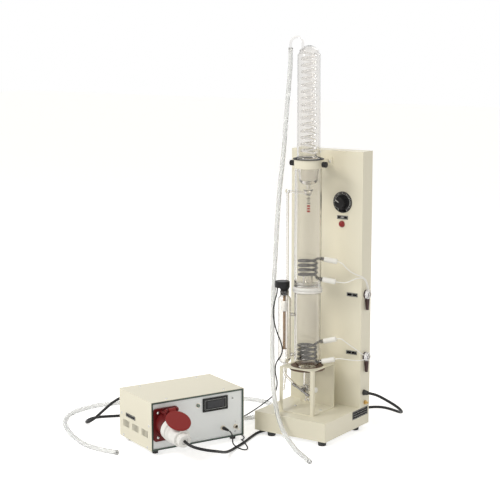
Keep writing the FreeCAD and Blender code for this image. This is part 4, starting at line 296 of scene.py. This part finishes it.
SENSOR_ROUTE = [
    (-76.5, -58.5, 394.95), (-76.5, -58.5, 381), (-82.5, -62.5, 358), (-86.5, -65, 331),
    (-82.5, -65, 302), (-72, -64.5, 270), (-60, -65, 250), (-54, -65, 228), (-62, -64.5, 208),
    (-77, -58, 194), (-88, -50, 176), (-91, -45, 155), (-84, -45, 132), (-89, -42, 108),
    (-106, -32, 86), (-132, -24, 66), (-160, -20, 44), (-184, -19, 27), (-205, -20, 12),
    (-223, -28, 3), (-231, -47, 1.8), (-221, -67, 1.8), (-202, -85, 1.8), (-181, -104, 1.8),
    (-160, -125, 1.8), (-139, -144, 1.8), (-120, -156, 1.8), (-107, -170, 1.8), (-103, -187, 2),
    (-96, -202, 7), (-84, -215, 12.8), (-68, -229, 12.8), (-55, -236, 7.6), (-44, -246, 3.6),
    (-43, -260, 3.6), (-54, -269, 7.6), (-69, -270, 12.8), (-82, -262, 17), (-86, -254, 30),
    (-97.5, -247.27, 41), (-109.46, -242.05, 41),
]
cord_across, cable_across, lead_across = 0.0075, 0.0035, 0.0026
rubber = finish(
    "black_sheath", (0.010, 0.010, 0.011), 0.45, grain=90, bump=0.12, vary=0.15,
    Specular_IOR_Level=0.3,
)
for name, points, thickness, stiffness in (
    ("heater_supply_cord", SUPPLY_ROUTE, cord_across, "medium"),
    ("sensor_cable", SENSOR_ROUTE, cable_across, "limp"),
):
    cord = route(name + "_line", points, thickness)
    cord.data.materials.append(rubber)
    path = centreline(cord)
    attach(cord, "stand")
    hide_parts(name)

# Mains cord. It leaves the back of the box, drops to the table and lies wound in a neat coil
# beside it, with its moulded plug next to the turns.
MAINS_ROUTE = [
    (-372.8, -309.24, 98), (-387.46, -302.84, 98), (-408, -295.5, 97), (-434, -293, 89),
    (-458, -299, 71), (-482, -309, 47), (-506, -315, 24), (-531, -312, 9), (-552, -297, 3.8),
    (-562, -271, 3.8), (-556, -243, 3.8), (-536, -221, 3.8), (-512, -198, 3.8), (-492, -170, 3.8),
    (-481.8, -138, 3.8), (-481.8, -114, 4),
]
coil_middle, coil_radius, coil_foot, coil_pitch = (-440, -100), 41, 4.05, 8.4
coil_turns, coil_steps = 4.5, 72
# The smooth line cuts inside its points, so they are spread until the line has the radius.
spread = 8 / (6 + 2 * math.cos(math.tau * coil_turns / coil_steps))
for k in range(1, coil_steps):
    angle = math.pi - math.tau * coil_turns * k / coil_steps
    MAINS_ROUTE.append(
        (
            coil_middle[0] + coil_radius * spread * math.cos(angle),
            coil_middle[1] + coil_radius * spread * math.sin(angle),
            coil_foot + coil_pitch * coil_turns * k / coil_steps,
        )
    )
MAINS_ROUTE += [
    (-398.2, -112, 42), (-399, -126, 42), (-398, -148, 35), (-392, -172, 24), (-385, -196, 18),
    (-385, -221.95, 18),
]
mains = route("mains_cord_line", MAINS_ROUTE, cord_across)
mains.data.materials.append(rubber)
mains_path = centreline(mains)
SAME_POINT = 3e-6
SAME_PLANE = math.radians(0.7)


def settled(node, look, edge=0.0004, others=(), rounds=2, sharp=32, flat=True):
    """A copy of the node's surface with its edges eased, in one look, or in others where each
    one's test of a face's middle, in metres, says so. It stands for the node. Where flat is on,
    faces in one plane are joined before the edges are eased."""
    mesh = frame["nodes"][node].data.copy()
    mesh.name = node + "_shape"
    mesh.materials.clear()
    work = bmesh.new()
    work.from_mesh(mesh)
    bmesh.ops.remove_doubles(work, verts=work.verts, dist=SAME_POINT)
    if edge and flat:
        bmesh.ops.dissolve_limit(
            work, angle_limit=SAME_PLANE, verts=work.verts, edges=work.edges
        )
    for face in work.faces:
        face.smooth = True
        face.material_index = 0
        for k, (other, wanted) in enumerate(others, start=1):
            if wanted(face.calc_center_median()):
                face.material_index = k
    work.to_mesh(mesh)
    work.free()
    for material in [look] + [other for other, wanted in others]:
        mesh.materials.append(material)
    mesh.set_sharp_from_angle(angle=math.radians(sharp))
    piece = bpy.data.objects.new(mesh.name, mesh)
    scene.collection.objects.link(piece)
    if edge:
        eased = piece.modifiers.new("eased_edges", "BEVEL")
        eased.width = edge
        eased.segments = rounds
        eased.limit_method = "ANGLE"
        eased.angle_limit = math.radians(sharp)
    true_normals = piece.modifiers.new("large_faces_lead", "WEIGHTED_NORMAL")
    true_normals.keep_sharp = True
    record = frame["record"]
    body = next(b for b, nodes in record["behaviour"]["bodies"].items() if node in nodes)
    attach(piece, body)
    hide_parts(node)
    return piece


black_plastic = finish(
    "black_moulding", (0.009, 0.009, 0.010), 0.4, grain=120, bump=0.15, vary=0.1,
    Specular_IOR_Level=0.28,
)
pins = finish("plug_pins", (0.75, 0.73, 0.68), 0.25, metal=1, grain=150, bump=0.05)
plug_face = STAND_AT.y - 0.2702
mains_plug = settled(
    "mains_plug", black_plastic, 0.0006, others=[(pins, lambda middle: middle.y < plug_face)]
)
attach(mains, "stand")
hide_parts("mains_cord", "mains_cord_coil", "mains_cord_tail")

# Base. A folded steel tray turned upside down, powder coated in warm cream with a fine orange
# peel, on four black rubber feet, with a plain steel plate let in below.
cream = finish(
    "cream_powder_coat", (0.79, 0.755, 0.615), 0.40, grain=45, bump=0.28, vary=0.018,
    rough_vary=0.05, fine=2, Coat_Weight=0.12, Coat_Roughness=0.25,
)
steel = finish("plated_steel", (0.62, 0.62, 0.60), 0.36, metal=1, grain=70, bump=0.08, vary=0.05)
soft_black = finish("rubber_foot", (0.02, 0.02, 0.02), 0.62, grain=80, bump=0.2, vary=0.15)
settled("base_shell", cream, 0.0012, rounds=3)
settled("base_bottom_plate", steel, 0.0003)
settled("rubber_feet", soft_black, 0.0008)

# Column. A tall folded steel channel in the same coat, open at the back, where a flanged cover
# fills it.
settled("column_housing", cream, 0.0011, rounds=3)
settled("column_back_cover", cream, 0.0005)

# Boiler tray and seat. A cream steel box with open sides carries the glass on a dark brown
# rubber ring.
brown_rubber = finish("seat_rubber", (0.115, 0.062, 0.038), 0.55, grain=60, bump=0.25, vary=0.12)
settled("boiler_bracket", cream, 0.0007)
settled("boiler_seat_ring", brown_rubber, 0.0008)

# Glass. Blown borosilicate tubing with its joints fused: two boilers one on the other, the
# condenser's jacket, its coil, the arm for the distillate, the level chamber and the stopcock.
# The two flanges that meet between the boilers are drawn dull and whiter than the rest of the glass,
# a painted highlight.
def clear_glass(name, color, rough=0.0, waves=0.06, edge=(0.30, 0.295, 0.285)):
    """Clear glass that lamps shine through, greyer where it is seen edge on, which is a painted shade
    along its outlines, with the slow waves of blown tubing."""
    look = bpy.data.materials.new(name)
    look.use_nodes = True
    tree = look.node_tree
    skin = tree.nodes["Principled BSDF"]
    facing = tree.nodes.new("ShaderNodeLayerWeight")
    facing.inputs["Blend"].default_value = 0.5
    steep = tree.nodes.new("ShaderNodeMath")
    steep.operation = "POWER"
    steep.inputs[1].default_value = 3.5
    # The edge colour is painted shade: the glass turns greyer toward its outlines as it is seen edge
    # on.
    edge_shade_mix = tree.nodes.new("ShaderNodeMix")
    edge_shade_mix.data_type = "RGBA"
    edge_shade_mix.inputs["A"].default_value = (*color, 1)
    edge_shade_mix.inputs["B"].default_value = (*edge, 1)
    tree.links.new(facing.outputs["Facing"], steep.inputs[0])
    tree.links.new(steep.outputs[0], edge_shade_mix.inputs["Factor"])
    tree.links.new(edge_shade_mix.outputs["Result"], skin.inputs["Base Color"])
    skin.inputs["Roughness"].default_value = rough
    skin.inputs["IOR"].default_value = 1.47
    skin.inputs["Transmission Weight"].default_value = 1
    place = tree.nodes.new("ShaderNodeTexCoord")
    slow = tree.nodes.new("ShaderNodeTexNoise")
    slow.inputs["Scale"].default_value = 38
    slow.inputs["Detail"].default_value = 1
    relief = tree.nodes.new("ShaderNodeBump")
    relief.inputs["Strength"].default_value = waves
    relief.inputs["Distance"].default_value = 0.001
    tree.links.new(place.outputs["Object"], slow.inputs["Vector"])
    tree.links.new(slow.outputs["Fac"], relief.inputs["Height"])
    tree.links.new(relief.outputs["Normal"], skin.inputs["Normal"])
    rays = tree.nodes.new("ShaderNodeLightPath")
    lit = tree.nodes.new("ShaderNodeBsdfTransparent")
    lit.inputs["Color"].default_value = [c * 0.97 for c in color] + [1]
    pass_on = tree.nodes.new("ShaderNodeMixShader")
    tree.links.new(rays.outputs["Is Shadow Ray"], pass_on.inputs[0])
    tree.links.new(skin.outputs[0], pass_on.inputs[1])
    tree.links.new(lit.outputs[0], pass_on.inputs[2])
    tree.links.new(pass_on.outputs[0], tree.nodes["Material Output"].inputs["Surface"])
    return look


# Each glass's edge colour is the painted shade along its outlines.
glass = clear_glass("borosilicate", (0.90, 0.89, 0.875))
coil_glass = clear_glass("coil_glass", (0.86, 0.85, 0.84), edge=(0.22, 0.215, 0.21))
# The flanges' paler, partly diffuse glass is a painted highlight.
flange_highlight = clear_glass(
    "flanges_painted_highlight", (0.96, 0.955, 0.94), rough=0.5, waves=0, edge=(0.86, 0.85, 0.83)
)
flange_highlight.node_tree.nodes["Principled BSDF"].inputs["Transmission Weight"].default_value = 0.35
glass_axis = STAND_AT + Vector((-0.004, -0.022, 0))
flanges_foot, flanges_top, boiler_side = 0.387, 0.413, 0.0352


def on_flange(middle):
    """Whether a face lies on the two flanges where the boilers meet, which carry the painted
    highlight.
    """
    within = flanges_foot < middle.z < flanges_top
    return within and (middle - glass_axis).xy.length > boiler_side


for node in (
    "lower_boiler", "upper_boiler", "condenser_jacket", "condenser_coil", "distillate_tube",
    "level_chamber", "stopcock_body",
):
    settled(
        node, coil_glass if node == "condenser_coil" else glass, 0, sharp=50,
        others=[(flange_highlight, on_flange)] if node.endswith("boiler") else (),
    )

# Heaters. A metal-sheathed element is wound inside each boiler, and its ends come out through
# side tubes into white sleeves, each with a thin braided lead to a plug on the column.
element = finish(
    "heater_sheath", (0.12, 0.115, 0.108), 0.24, metal=1, grain=110, bump=0.25, vary=0.4,
    rough_vary=0.12,
)
sleeve_white = finish("sleeve_white", (0.84, 0.83, 0.79), 0.32, grain=50, bump=0.06, vary=0.02)
settled("lower_heater_coil", element, 0)
settled("upper_heater_coil", element, 0)
settled("heater_sleeves", sleeve_white, 0.0003)
braid = finish("lead_braid", (0.93, 0.925, 0.90), 0.5, grain=200, bump=0.3, vary=0.03)
LEADS = {
    "upper_heater_leads": [
        [(72.4, -4.8, 418.2), (84, -0.6, 416.6), (94, 12, 415), (102, 30, 420), (109, 47, 424),
         (115, 62, 423), (116.2, 75, 415), (116.4, 84, 402), (116.5, 87.5, 386.6)],
        [(65.6, 14, 469), (76.5, 18, 467), (85, 23, 455), (93, 34, 442), (104, 46, 433),
         (113.5, 58, 428), (118.5, 71, 420), (120.4, 82, 405), (120.5, 87.5, 386.4)],
    ],
    "lower_heater_leads": [
        [(71.6, -5.1, 208.3), (82, -1.2, 210.9), (92, 14, 207), (100, 32, 202), (109, 50, 198),
         (115.5, 64, 197), (119, 76.8, 198)],
        [(64.8, 13.7, 259.1), (76.2, 17.9, 261.9), (87, 26.5, 250.5), (98, 40, 237),
         (109, 53, 225), (116, 65, 213), (119, 76.8, 208)],
    ],
}
for node, pair in LEADS.items():
    for k, points in enumerate(pair, start=1):
        lead = route(f"{node}_{k}", points, lead_across)
        lead.data.materials.append(braid)
        path = centreline(lead)
        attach(lead, "stand")
        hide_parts(node)

# Clamp. A cream plastic collar round the neck of the upper boiler, screwed to the column by its
# arm, with a black screw on each side that holds the glass, and a black gasket on top.
collar_cream = finish("collar_plastic", (0.80, 0.765, 0.63), 0.42, grain=60, bump=0.12, vary=0.02)
settled("clamp_collar", collar_cream, 0.0006)
settled("collar_gasket", soft_black, 0.0003)
settled("thumbscrew_left", black_plastic, 0.0005)
settled("thumbscrew_right", black_plastic, 0.0005)

# Level sensor. A black head on the chamber's neck, a brown rod down its middle and a white float
# that slides on it.
brown = finish("brown_rod", (0.235, 0.13, 0.045), 0.4, grain=120, bump=0.15, vary=0.25)
float_white = finish("float_plastic", (0.86, 0.86, 0.83), 0.4, grain=70, bump=0.08)
settled("level_head", black_plastic, 0.0005)
settled("float_stem", brown, 0.0003)
settled("float", float_white, 0.0003)

# Drain. A turning plug with a dark chromed handle in the glass cock, and a white screw cap on
# its spare side.
dark_chrome = finish("dark_chrome", (0.36, 0.35, 0.34), 0.2, metal=1, grain=60, bump=0.05, vary=0.1)
white_plastic = finish("white_moulding", (0.85, 0.85, 0.83), 0.36, grain=60, bump=0.08, vary=0.02)
settled("stopcock_key", dark_chrome, 0.0003)
settled("stopcock_side_cap", white_plastic, 0.0004)

# Regulator. A fluted black knob with a white line turns over a black dial with white marks. The
# module that it sets is behind the steel.
plate_black = finish(
    "engraved_laminate", (0.004, 0.004, 0.0045), 0.4, grain=90, bump=0.06, vary=0.1,
    Specular_IOR_Level=0.12,
)
print_white = finish("filled_white", (0.86, 0.86, 0.84), 0.5, grain=90, bump=0.05)
settled("regulator_knob", black_plastic, 0.0003)
settled("regulator_module", black_plastic, 0.0005)
settled("face_plates", plate_black, 0.0002)

# Lamps, sockets, plugs and earth. A red lamp below the dial, a grey one on the box, round
# sockets with dark maroon boots on the column's side, clear plugs, and a brass earth stud.
red_lens = finish("red_lens", (0.26, 0.006, 0.006), 0.2, grain=60, bump=0.05, Coat_Weight=0.3)
led_grey = finish("led_lens", (0.42, 0.44, 0.42), 0.25, grain=60, bump=0.05, Coat_Weight=0.4)
dark_socket = finish("socket_moulding", (0.035, 0.007, 0.006), 0.36, grain=90, bump=0.1, vary=0.1)
brass = finish("brass", (0.66, 0.46, 0.19), 0.28, metal=1, grain=90, bump=0.08, vary=0.1)
clear_plastic = clear_glass("clear_plug", (0.90, 0.89, 0.90), rough=0.12, waves=0.2)
box_lamp_below = 0.3
settled(
    "indicator_lamps", red_lens, 0.0003, others=[(led_grey, lambda middle: middle.z < box_lamp_below)]
)
settled("heater_sockets", dark_socket, 0.0004)
settled("heater_plugs", clear_plastic, 0.0003)
settled("cord_grommets", soft_black, 0.0005)
settled("earth_terminal", brass, 0.0002)

# Control box. A steel tray closed by one folded cream cover with slots in its sides, a pale
# panel set back in a dark green frame in front, and one behind.
panel_paint = finish("panel_paint", (0.92, 0.955, 0.965), 0.34, grain=45, bump=0.1, vary=0.015)
dark_trim = finish("trim_paint", (0.045, 0.075, 0.06), 0.35, grain=60, bump=0.1, vary=0.1)
settled("control_tray", steel, 0.0003)
settled("control_cover", cream, 0.0005, flat=False)
settled("front_trim", dark_trim, 0.0004, flat=False)
settled("front_panel", panel_paint, 0, sharp=25)
settled("back_panel", panel_paint, 0, sharp=25)
settled("hose_port", white_plastic, 0.0003)

# Front of the box. A panel meter, a power socket with a sprung lid over its white plug, a reset
# button, a switch and the sensor's jack.
socket_red = finish(
    "socket_red", (0.135, 0.008, 0.009), 0.34, grain=60, bump=0.1, vary=0.06, Specular_IOR_Level=0.25
)
lid_red = finish(
    "lid_red", (0.235, 0.016, 0.014), 0.42, grain=60, bump=0.12, vary=0.05, Specular_IOR_Level=0.25
)
grey_green = finish("grey_green_cap", (0.20, 0.25, 0.22), 0.4, grain=90, bump=0.1)
nickel = finish("nickel_plate", (0.66, 0.62, 0.55), 0.22, metal=1, grain=80, bump=0.06, vary=0.08)
box_at, box_turn = (-0.116077, -0.098904, 0), math.radians(66.4)
BOX = Matrix.Translation(box_at) @ Matrix.Rotation(box_turn, 4, "Z")
settled("meter", black_plastic, 0.0005)
settled("power_socket", socket_red, 0.0006)
settled("socket_lid", lid_red, 0.0006)
settled("power_plug", white_plastic, 0.0006)
settled("reset_button", grey_green, 0.0002)
settled("panel_switches", nickel, 0.0002)
settled("toggle_lever", nickel, 0)
settled("sensor_jack", nickel, 0.0002)
settled("sensor_plug", black_plastic, 0.0002)

# Screws. Plated round-head screws with one slot hold the tray, the collar's arm, the cover of the
# box and the socket. One tree turns a head, saws the slot and sets it on every place.
def new_tree(name, sizes):
    """A tree that takes points, named sizes and a look."""
    tree = bpy.data.node_groups.new(name, "GeometryNodeTree")
    tree.interface.new_socket("Points", in_out="INPUT", socket_type="NodeSocketGeometry")
    for size in sizes:
        tree.interface.new_socket(size, in_out="INPUT", socket_type="NodeSocketFloat")
    tree.interface.new_socket("Look", in_out="INPUT", socket_type="NodeSocketMaterial")
    tree.interface.new_socket("Mesh", in_out="OUTPUT", socket_type="NodeSocketGeometry")
    return tree, tree.nodes.new("NodeGroupInput")


def set_on_points(tree, given, shape):
    """Set the shape on every point, turned by the point's own turn, and make it one mesh."""
    turn = tree.nodes.new("GeometryNodeInputNamedAttribute")
    turn.data_type = "FLOAT"
    turn.inputs["Name"].default_value = "turn"
    about = tree.nodes.new("ShaderNodeCombineXYZ")
    tree.links.new(turn.outputs["Attribute"], about.inputs["Z"])
    spread = tree.nodes.new("GeometryNodeInstanceOnPoints")
    tree.links.new(given.outputs["Points"], spread.inputs["Points"])
    tree.links.new(shape, spread.inputs["Instance"])
    tree.links.new(about.outputs[0], spread.inputs["Rotation"])
    real = tree.nodes.new("GeometryNodeRealizeInstances")
    tree.links.new(spread.outputs[0], real.inputs[0])
    dressed = tree.nodes.new("GeometryNodeSetMaterial")
    tree.links.new(real.outputs[0], dressed.inputs["Geometry"])
    tree.links.new(given.outputs["Look"], dressed.inputs["Material"])
    out = tree.nodes.new("NodeGroupOutput")
    tree.links.new(dressed.outputs[0], out.inputs[0])


def sized(tree, given, node, socket, expression):
    """Feed a node's size from the tree's own inputs, as x, y and z with a factor each."""
    vector = tree.nodes.new("ShaderNodeCombineXYZ")
    for axis, (name, factor) in zip("XYZ", expression):
        times = tree.nodes.new("ShaderNodeMath")
        times.operation = "MULTIPLY"
        times.inputs[1].default_value = factor
        tree.links.new(given.outputs[name], times.inputs[0])
        tree.links.new(times.outputs[0], vector.inputs[axis])
    tree.links.new(vector.outputs[0], node.inputs[socket])


def grown(name, tree, points, place, look, turns=0, **sizes):
    """What the tree grows on the points, which are in metres in the place's own frame. Turns is a
    list of the points' own turns, or the turn from one point to the next."""
    mesh = bpy.data.meshes.new(name + "_points")
    mesh.from_pydata(points, [], [])
    turn = mesh.attributes.new("turn", "FLOAT", "POINT")
    for k in range(len(points)):
        turn.data[k].value = turns[k] if isinstance(turns, list) else turns * k
    seed = bpy.data.objects.new(name + "_points", mesh)
    scene.collection.objects.link(seed)
    modifier = seed.modifiers.new("grown", "NODES")
    modifier.node_group = tree
    for item in tree.interface.items_tree:
        if item.in_out == "INPUT" and item.name in sizes:
            modifier[item.identifier] = sizes[item.name]
        elif item.in_out == "INPUT" and item.name == "Look":
            modifier[item.identifier] = look
    bpy.context.view_layer.update()
    full = bpy.data.meshes.new_from_object(
        seed.evaluated_get(bpy.context.evaluated_depsgraph_get())
    )
    bpy.data.objects.remove(seed)
    full.transform(place)
    full.name = name
    piece = bpy.data.objects.new(name, full)
    scene.collection.objects.link(piece)
    return piece


head_tree, given = new_tree("slotted_head", ["Radius", "Height", "Slot"])
dome = head_tree.nodes.new("GeometryNodeMeshUVSphere")
dome.inputs["Segments"].default_value = 28
dome.inputs["Rings"].default_value = 14
dome.inputs["Radius"].default_value = 1
flat = head_tree.nodes.new("GeometryNodeTransform")
head_tree.links.new(dome.outputs[0], flat.inputs["Geometry"])
sized(head_tree, given, flat, "Scale", [("Radius", 1), ("Radius", 1), ("Height", 1)])
saw = head_tree.nodes.new("GeometryNodeMeshCube")
sized(head_tree, given, saw, "Size", [("Radius", 2.4), ("Slot", 1), ("Height", 0.9)])
lifted = head_tree.nodes.new("GeometryNodeTransform")
head_tree.links.new(saw.outputs[0], lifted.inputs["Geometry"])
sized(head_tree, given, lifted, "Translation", [("Radius", 0), ("Slot", 0), ("Height", 1)])
sawn = head_tree.nodes.new("GeometryNodeMeshBoolean")
sawn.operation = "DIFFERENCE"
head_tree.links.new(flat.outputs[0], sawn.inputs["Mesh 1"])
head_tree.links.new(lifted.outputs[0], sawn.inputs["Mesh 2"])
smooth = head_tree.nodes.new("GeometryNodeSetShadeSmooth")
head_tree.links.new(sawn.outputs[0], smooth.inputs["Geometry"])
set_on_points(head_tree, given, smooth.outputs[0])
STAND = Matrix.Translation(STAND_AT)
FACING = Matrix.Rotation(math.radians(90), 4, "X")
UPWARD = Matrix()
RIGHTWARD = Matrix.Rotation(math.radians(90), 4, "Y")
LEFTWARD = Matrix.Rotation(math.radians(-90), 4, "Y")
box_side, box_top = 139, 140.5
side_places = [(-66, 18), (66, 18), (-75.24, 76), (75.24, 76)]
SCREWS = {
    "tray_screws": (STAND, UPWARD, [(-44, -16, 65), (36, -16, 65)]),
    "collar_arm_screws": (STAND, FACING, [(-18, 62.5, 728.25), (10, 62.5, 728.25)]),
    "cover_top_screws": (
        BOX, UPWARD, [(x, y, box_top) for x in (86, -86) for y in (72.5, -72.5)],
    ),
    "cover_right_screws": (BOX, RIGHTWARD, [(box_side, y, z) for y, z in side_places]),
    "cover_left_screws": (BOX, LEFTWARD, [(-box_side, y, z) for y, z in side_places]),
    "socket_screws": (
        BOX, FACING, [(x, -91.5, z) for x in (-121, -74) for z in (47.5, 112.5)],
    ),
}
turn_between = 1.9
for name, (frame_of, way, places) in SCREWS.items():
    back = way.inverted()
    heads = grown(
        name, head_tree, [back @ (Vector(place) / 1000) for place in places], frame_of @ way, steel,
        turns=turn_between, Radius=0.0036, Height=0.0021, Slot=0.0009,
    )
    heads.data.set_sharp_from_angle(angle=math.radians(40))
    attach(heads, "stand")
    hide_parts("round_head_screws")

# Dial, marks and plates. White filled marks stand round the black dial and on the black plates,
# and a white line on the knob shows its setting. The plates carry plain marks.
bar_tree, given = new_tree("bars", ["Length", "Width", "Thickness"])
bar = bar_tree.nodes.new("GeometryNodeMeshCube")
sized(bar_tree, given, bar, "Size", [("Length", 1), ("Width", 1), ("Thickness", 1)])
set_on_points(bar_tree, given, bar.outputs[0])


def bars(name, points, place, look, length, width, body="stand", turns=0, thick=0.0002):
    """Flat bars of one size, centred on the points."""
    piece = grown(
        name, bar_tree, points, place, look, turns=turns, Length=length, Width=width, Thickness=thick
    )
    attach(piece, body)
    return piece


def at(x, y, z, way=FACING, frame_of=STAND):
    """A flat place at the point in millimetres, whose own Z looks out of the face."""
    return frame_of @ Matrix.Translation((x / 1000, y / 1000, z / 1000)) @ way


def ring(reach, angles):
    """Points at one reach from the middle, just proud of the plate."""
    return [(reach * math.cos(a), reach * math.sin(a), proud) for a in angles]


proud = 0.0001
dial = at(50, 64, 621)
dial_start, dial_sweep, dial_steps = -60, 300, 30
dial_angles = [
    math.radians(dial_start + dial_sweep * k / dial_steps) for k in range(dial_steps + 1)
]
for name, every, reach, length, width in (
    ("dial_ticks", 1, 0.0257, 0.0028, 0.0007), ("dial_long_ticks", 3, 0.0251, 0.0042, 0.0011),
):
    angles = dial_angles[::every]
    bars(
        name, ring(reach, angles), dial, print_white, turns=angles, length=length,
        width=width,
    )
arc_start, arc_sweep, arc_steps, arc_radius = -58, 296, 90, 0.0222
arc_angles = [math.radians(arc_start + arc_sweep * k / arc_steps) for k in range(arc_steps + 1)]
bars(
    "dial_arc", ring(arc_radius, arc_angles), dial, print_white,
    turns=[a + math.pi / 2 for a in arc_angles], length=0.0014, width=0.0005,
)
rest_angle, line_middle = math.radians(150), 0.0085
bars(
    "knob_line", ring(line_middle, [rest_angle]), at(50, 46.70, 621), print_white,
    body="knob", turns=[rest_angle], length=0.0115, width=0.0015,
)
letter_depth, line_inset = 0.00008, 0.0014


def letters(name, text, height, place, look):
    """Filled marks of one flat height, centred on the place."""
    line = bpy.data.curves.new(name, "FONT")
    line.body = text
    line.size = height
    line.align_x = "CENTER"
    line.align_y = "CENTER"
    line.extrude = letter_depth
    stamp = bpy.data.objects.new(name + "_stamp", line)
    scene.collection.objects.link(stamp)
    bpy.context.view_layer.update()
    mesh = bpy.data.meshes.new_from_object(
        stamp.evaluated_get(bpy.context.evaluated_depsgraph_get())
    )
    bpy.data.objects.remove(stamp)
    mesh.transform(place)
    mesh.materials.clear()
    mesh.materials.append(look)
    piece = bpy.data.objects.new(name, mesh)
    scene.collection.objects.link(piece)
    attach(piece, "stand")
    return piece


def bordered(name, place, width, height, look=print_white, line=0.0004):
    """A thin line just inside the edge of a plate."""
    half, tall = width / 2 - line_inset, height / 2 - line_inset
    bars(
        name + "_long_lines", [(0, tall, proud), (0, -tall, proud)], place, look,
        length=2 * half + line, width=line,
    )
    bars(
        name + "_short_lines", [(half, 0, proud), (-half, 0, proud)], place, look,
        turns=[math.pi / 2, math.pi / 2], length=2 * tall, width=line,
    )


for name, text, x, z in (
    ("lamp_plate", "ON", 50, 580), ("upper_plate", "2", 82.5, 373), ("lower_plate", "1", 82.5, 214),
):
    place = at(x, 64.7, z)
    bordered(name, place, 0.033, 0.010)
    letters(name + "_mark", text, 0.0065, place, print_white)
SIDE_ON = Matrix.Rotation(math.radians(90), 4, "Z") @ FACING
rating = at(111.8, 66, 50, SIDE_ON)
bordered("rating_plate", rating, 0.082, 0.022)
row_rise = 0.0035
bars(
    "rating_rows", [(0, row_rise, proud), (0, -row_rise, proud)], rating, print_white,
    length=0.070, width=0.0003,
)

# Marks on the glass. A short scale of fired black lines with a red block below it faces the user
# on the upper vessel.
fired_black = finish("fired_black", (0.03, 0.03, 0.03), 0.5, grain=90, bump=0.05)
fired_red = finish("fired_red", (0.30, 0.02, 0.015), 0.5, grain=90, bump=0.05)
toward, glass_x, glass_y, marks_radius = math.radians(-57), -4, -22, 36.3
glass_face = at(
    glass_x + marks_radius * math.cos(toward), glass_y + marks_radius * math.sin(toward), 0,
    Matrix.Rotation(toward + math.pi / 2, 4, "Z") @ FACING,
)
for name, look, length, width, heights in (
    ("scale_long", fired_black, 0.010, 0.0018, [0.652, 0.640, 0.628]),
    ("scale_short", fired_black, 0.006, 0.0012, [0.648, 0.644, 0.636, 0.632]),
    ("scale_red", fired_red, 0.0085, 0.0042, [0.621, 0.614, 0.607]),
):
    places = [(0, height, 0) for height in heights]
    bars(name, places, glass_face, look, length=length, width=width)

# Meter window. A dark tinted plate let into the bezel over a liquid crystal display that is switched
# off, with a pale line round the window's edge that is a painted highlight.
tinted = finish(
    "tinted_window", (0.008, 0.008, 0.010), 0.16, grain=50, bump=0.02, Specular_IOR_Level=0.3
)
display = finish(
    "blank_display", (0.032, 0.034, 0.040), 0.22, grain=50, bump=0.03, Specular_IOR_Level=0.35
)
meter_x, meter_z, window_width, window_height = 51.5, 110, 0.0664, 0.0274
plate_sheet = 0.0008
window = at(meter_x, -87.5, meter_z, frame_of=BOX)
bars(
    "meter_window", [(0, 0, plate_sheet / 2)], window, tinted, length=window_width,
    width=window_height, thick=plate_sheet,
)
bars(
    "meter_display", [(0.0015, 0, 0.0009)], window, display, length=0.050,
    width=0.0185,
)
# A pale line round the window's edge, a painted highlight.
window_front = at(meter_x, -88.35, meter_z, frame_of=BOX)
bordered(
    "meter_window_highlight", window_front, window_width, window_height, look=led_grey,
    line=0.0007,
)

# Plate on the box's left side, and the marks at the switch.
side_plate_width, side_plate_height = 0.052, 0.010
side_plate = at(-box_side, 26, 77, Matrix.Rotation(math.radians(-90), 4, "Z") @ FACING, BOX)
bars(
    "side_plate", [(0, 0, plate_sheet / 2)], side_plate, plate_black,
    length=side_plate_width, width=side_plate_height, thick=plate_sheet,
)
bordered(
    "side_plate_line", side_plate @ Matrix.Translation((0, 0, plate_sheet)), side_plate_width,
    side_plate_height,
)
panel_black = finish("panel_print", (0.03, 0.03, 0.03), 0.5, grain=90, bump=0.05)
mark_height = 0.006
for name, text, z in (("switch_one", "I", 52), ("switch_nought", "O", 25)):
    place = at(113.5, -85.6, z, frame_of=BOX)
    letters(name, text, mark_height, place, panel_black)

# Strain relief. A ribbed rubber sleeve, wider at the box, keeps the mains lead from kinking where
# it leaves the gland.
def boot(name, path, start, far, wide, narrow):
    """A ribbed sleeve along the path from start to far, in metres along it."""
    run, points = 0.0, []
    for a, b in zip(path, path[1:]):
        steps = max(1, round((b - a).length / boot_step))
        points += [a.lerp(b, k / steps) for k in range(steps)]
    kept, radii = [], []
    for a, b in zip(points, points[1:]):
        run += (b - a).length
        if start <= run <= far:
            share = (run - start) / (far - start)
            kept.append(b)
            ribbed = rib_rise if math.sin(share * math.tau * ribs) > 0 else -groove_depth
            radii.append(wide + (narrow - wide) * share + ribbed * (0.1 < share < 0.93))
    piece = tube(name, kept, radii, boot_bore, sides=32)
    piece.data.materials.append(soft_black)
    piece.data.set_sharp_from_angle(angle=math.radians(35))
    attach(piece, "stand")
    return piece


boot_step, boot_bore, ribs, rib_rise, groove_depth = 0.0006, 0.0036, 7, 0.0006, 0.0003
boot("mains_relief", mains_path, 0.0165, 0.047, 0.0066, 0.0046)
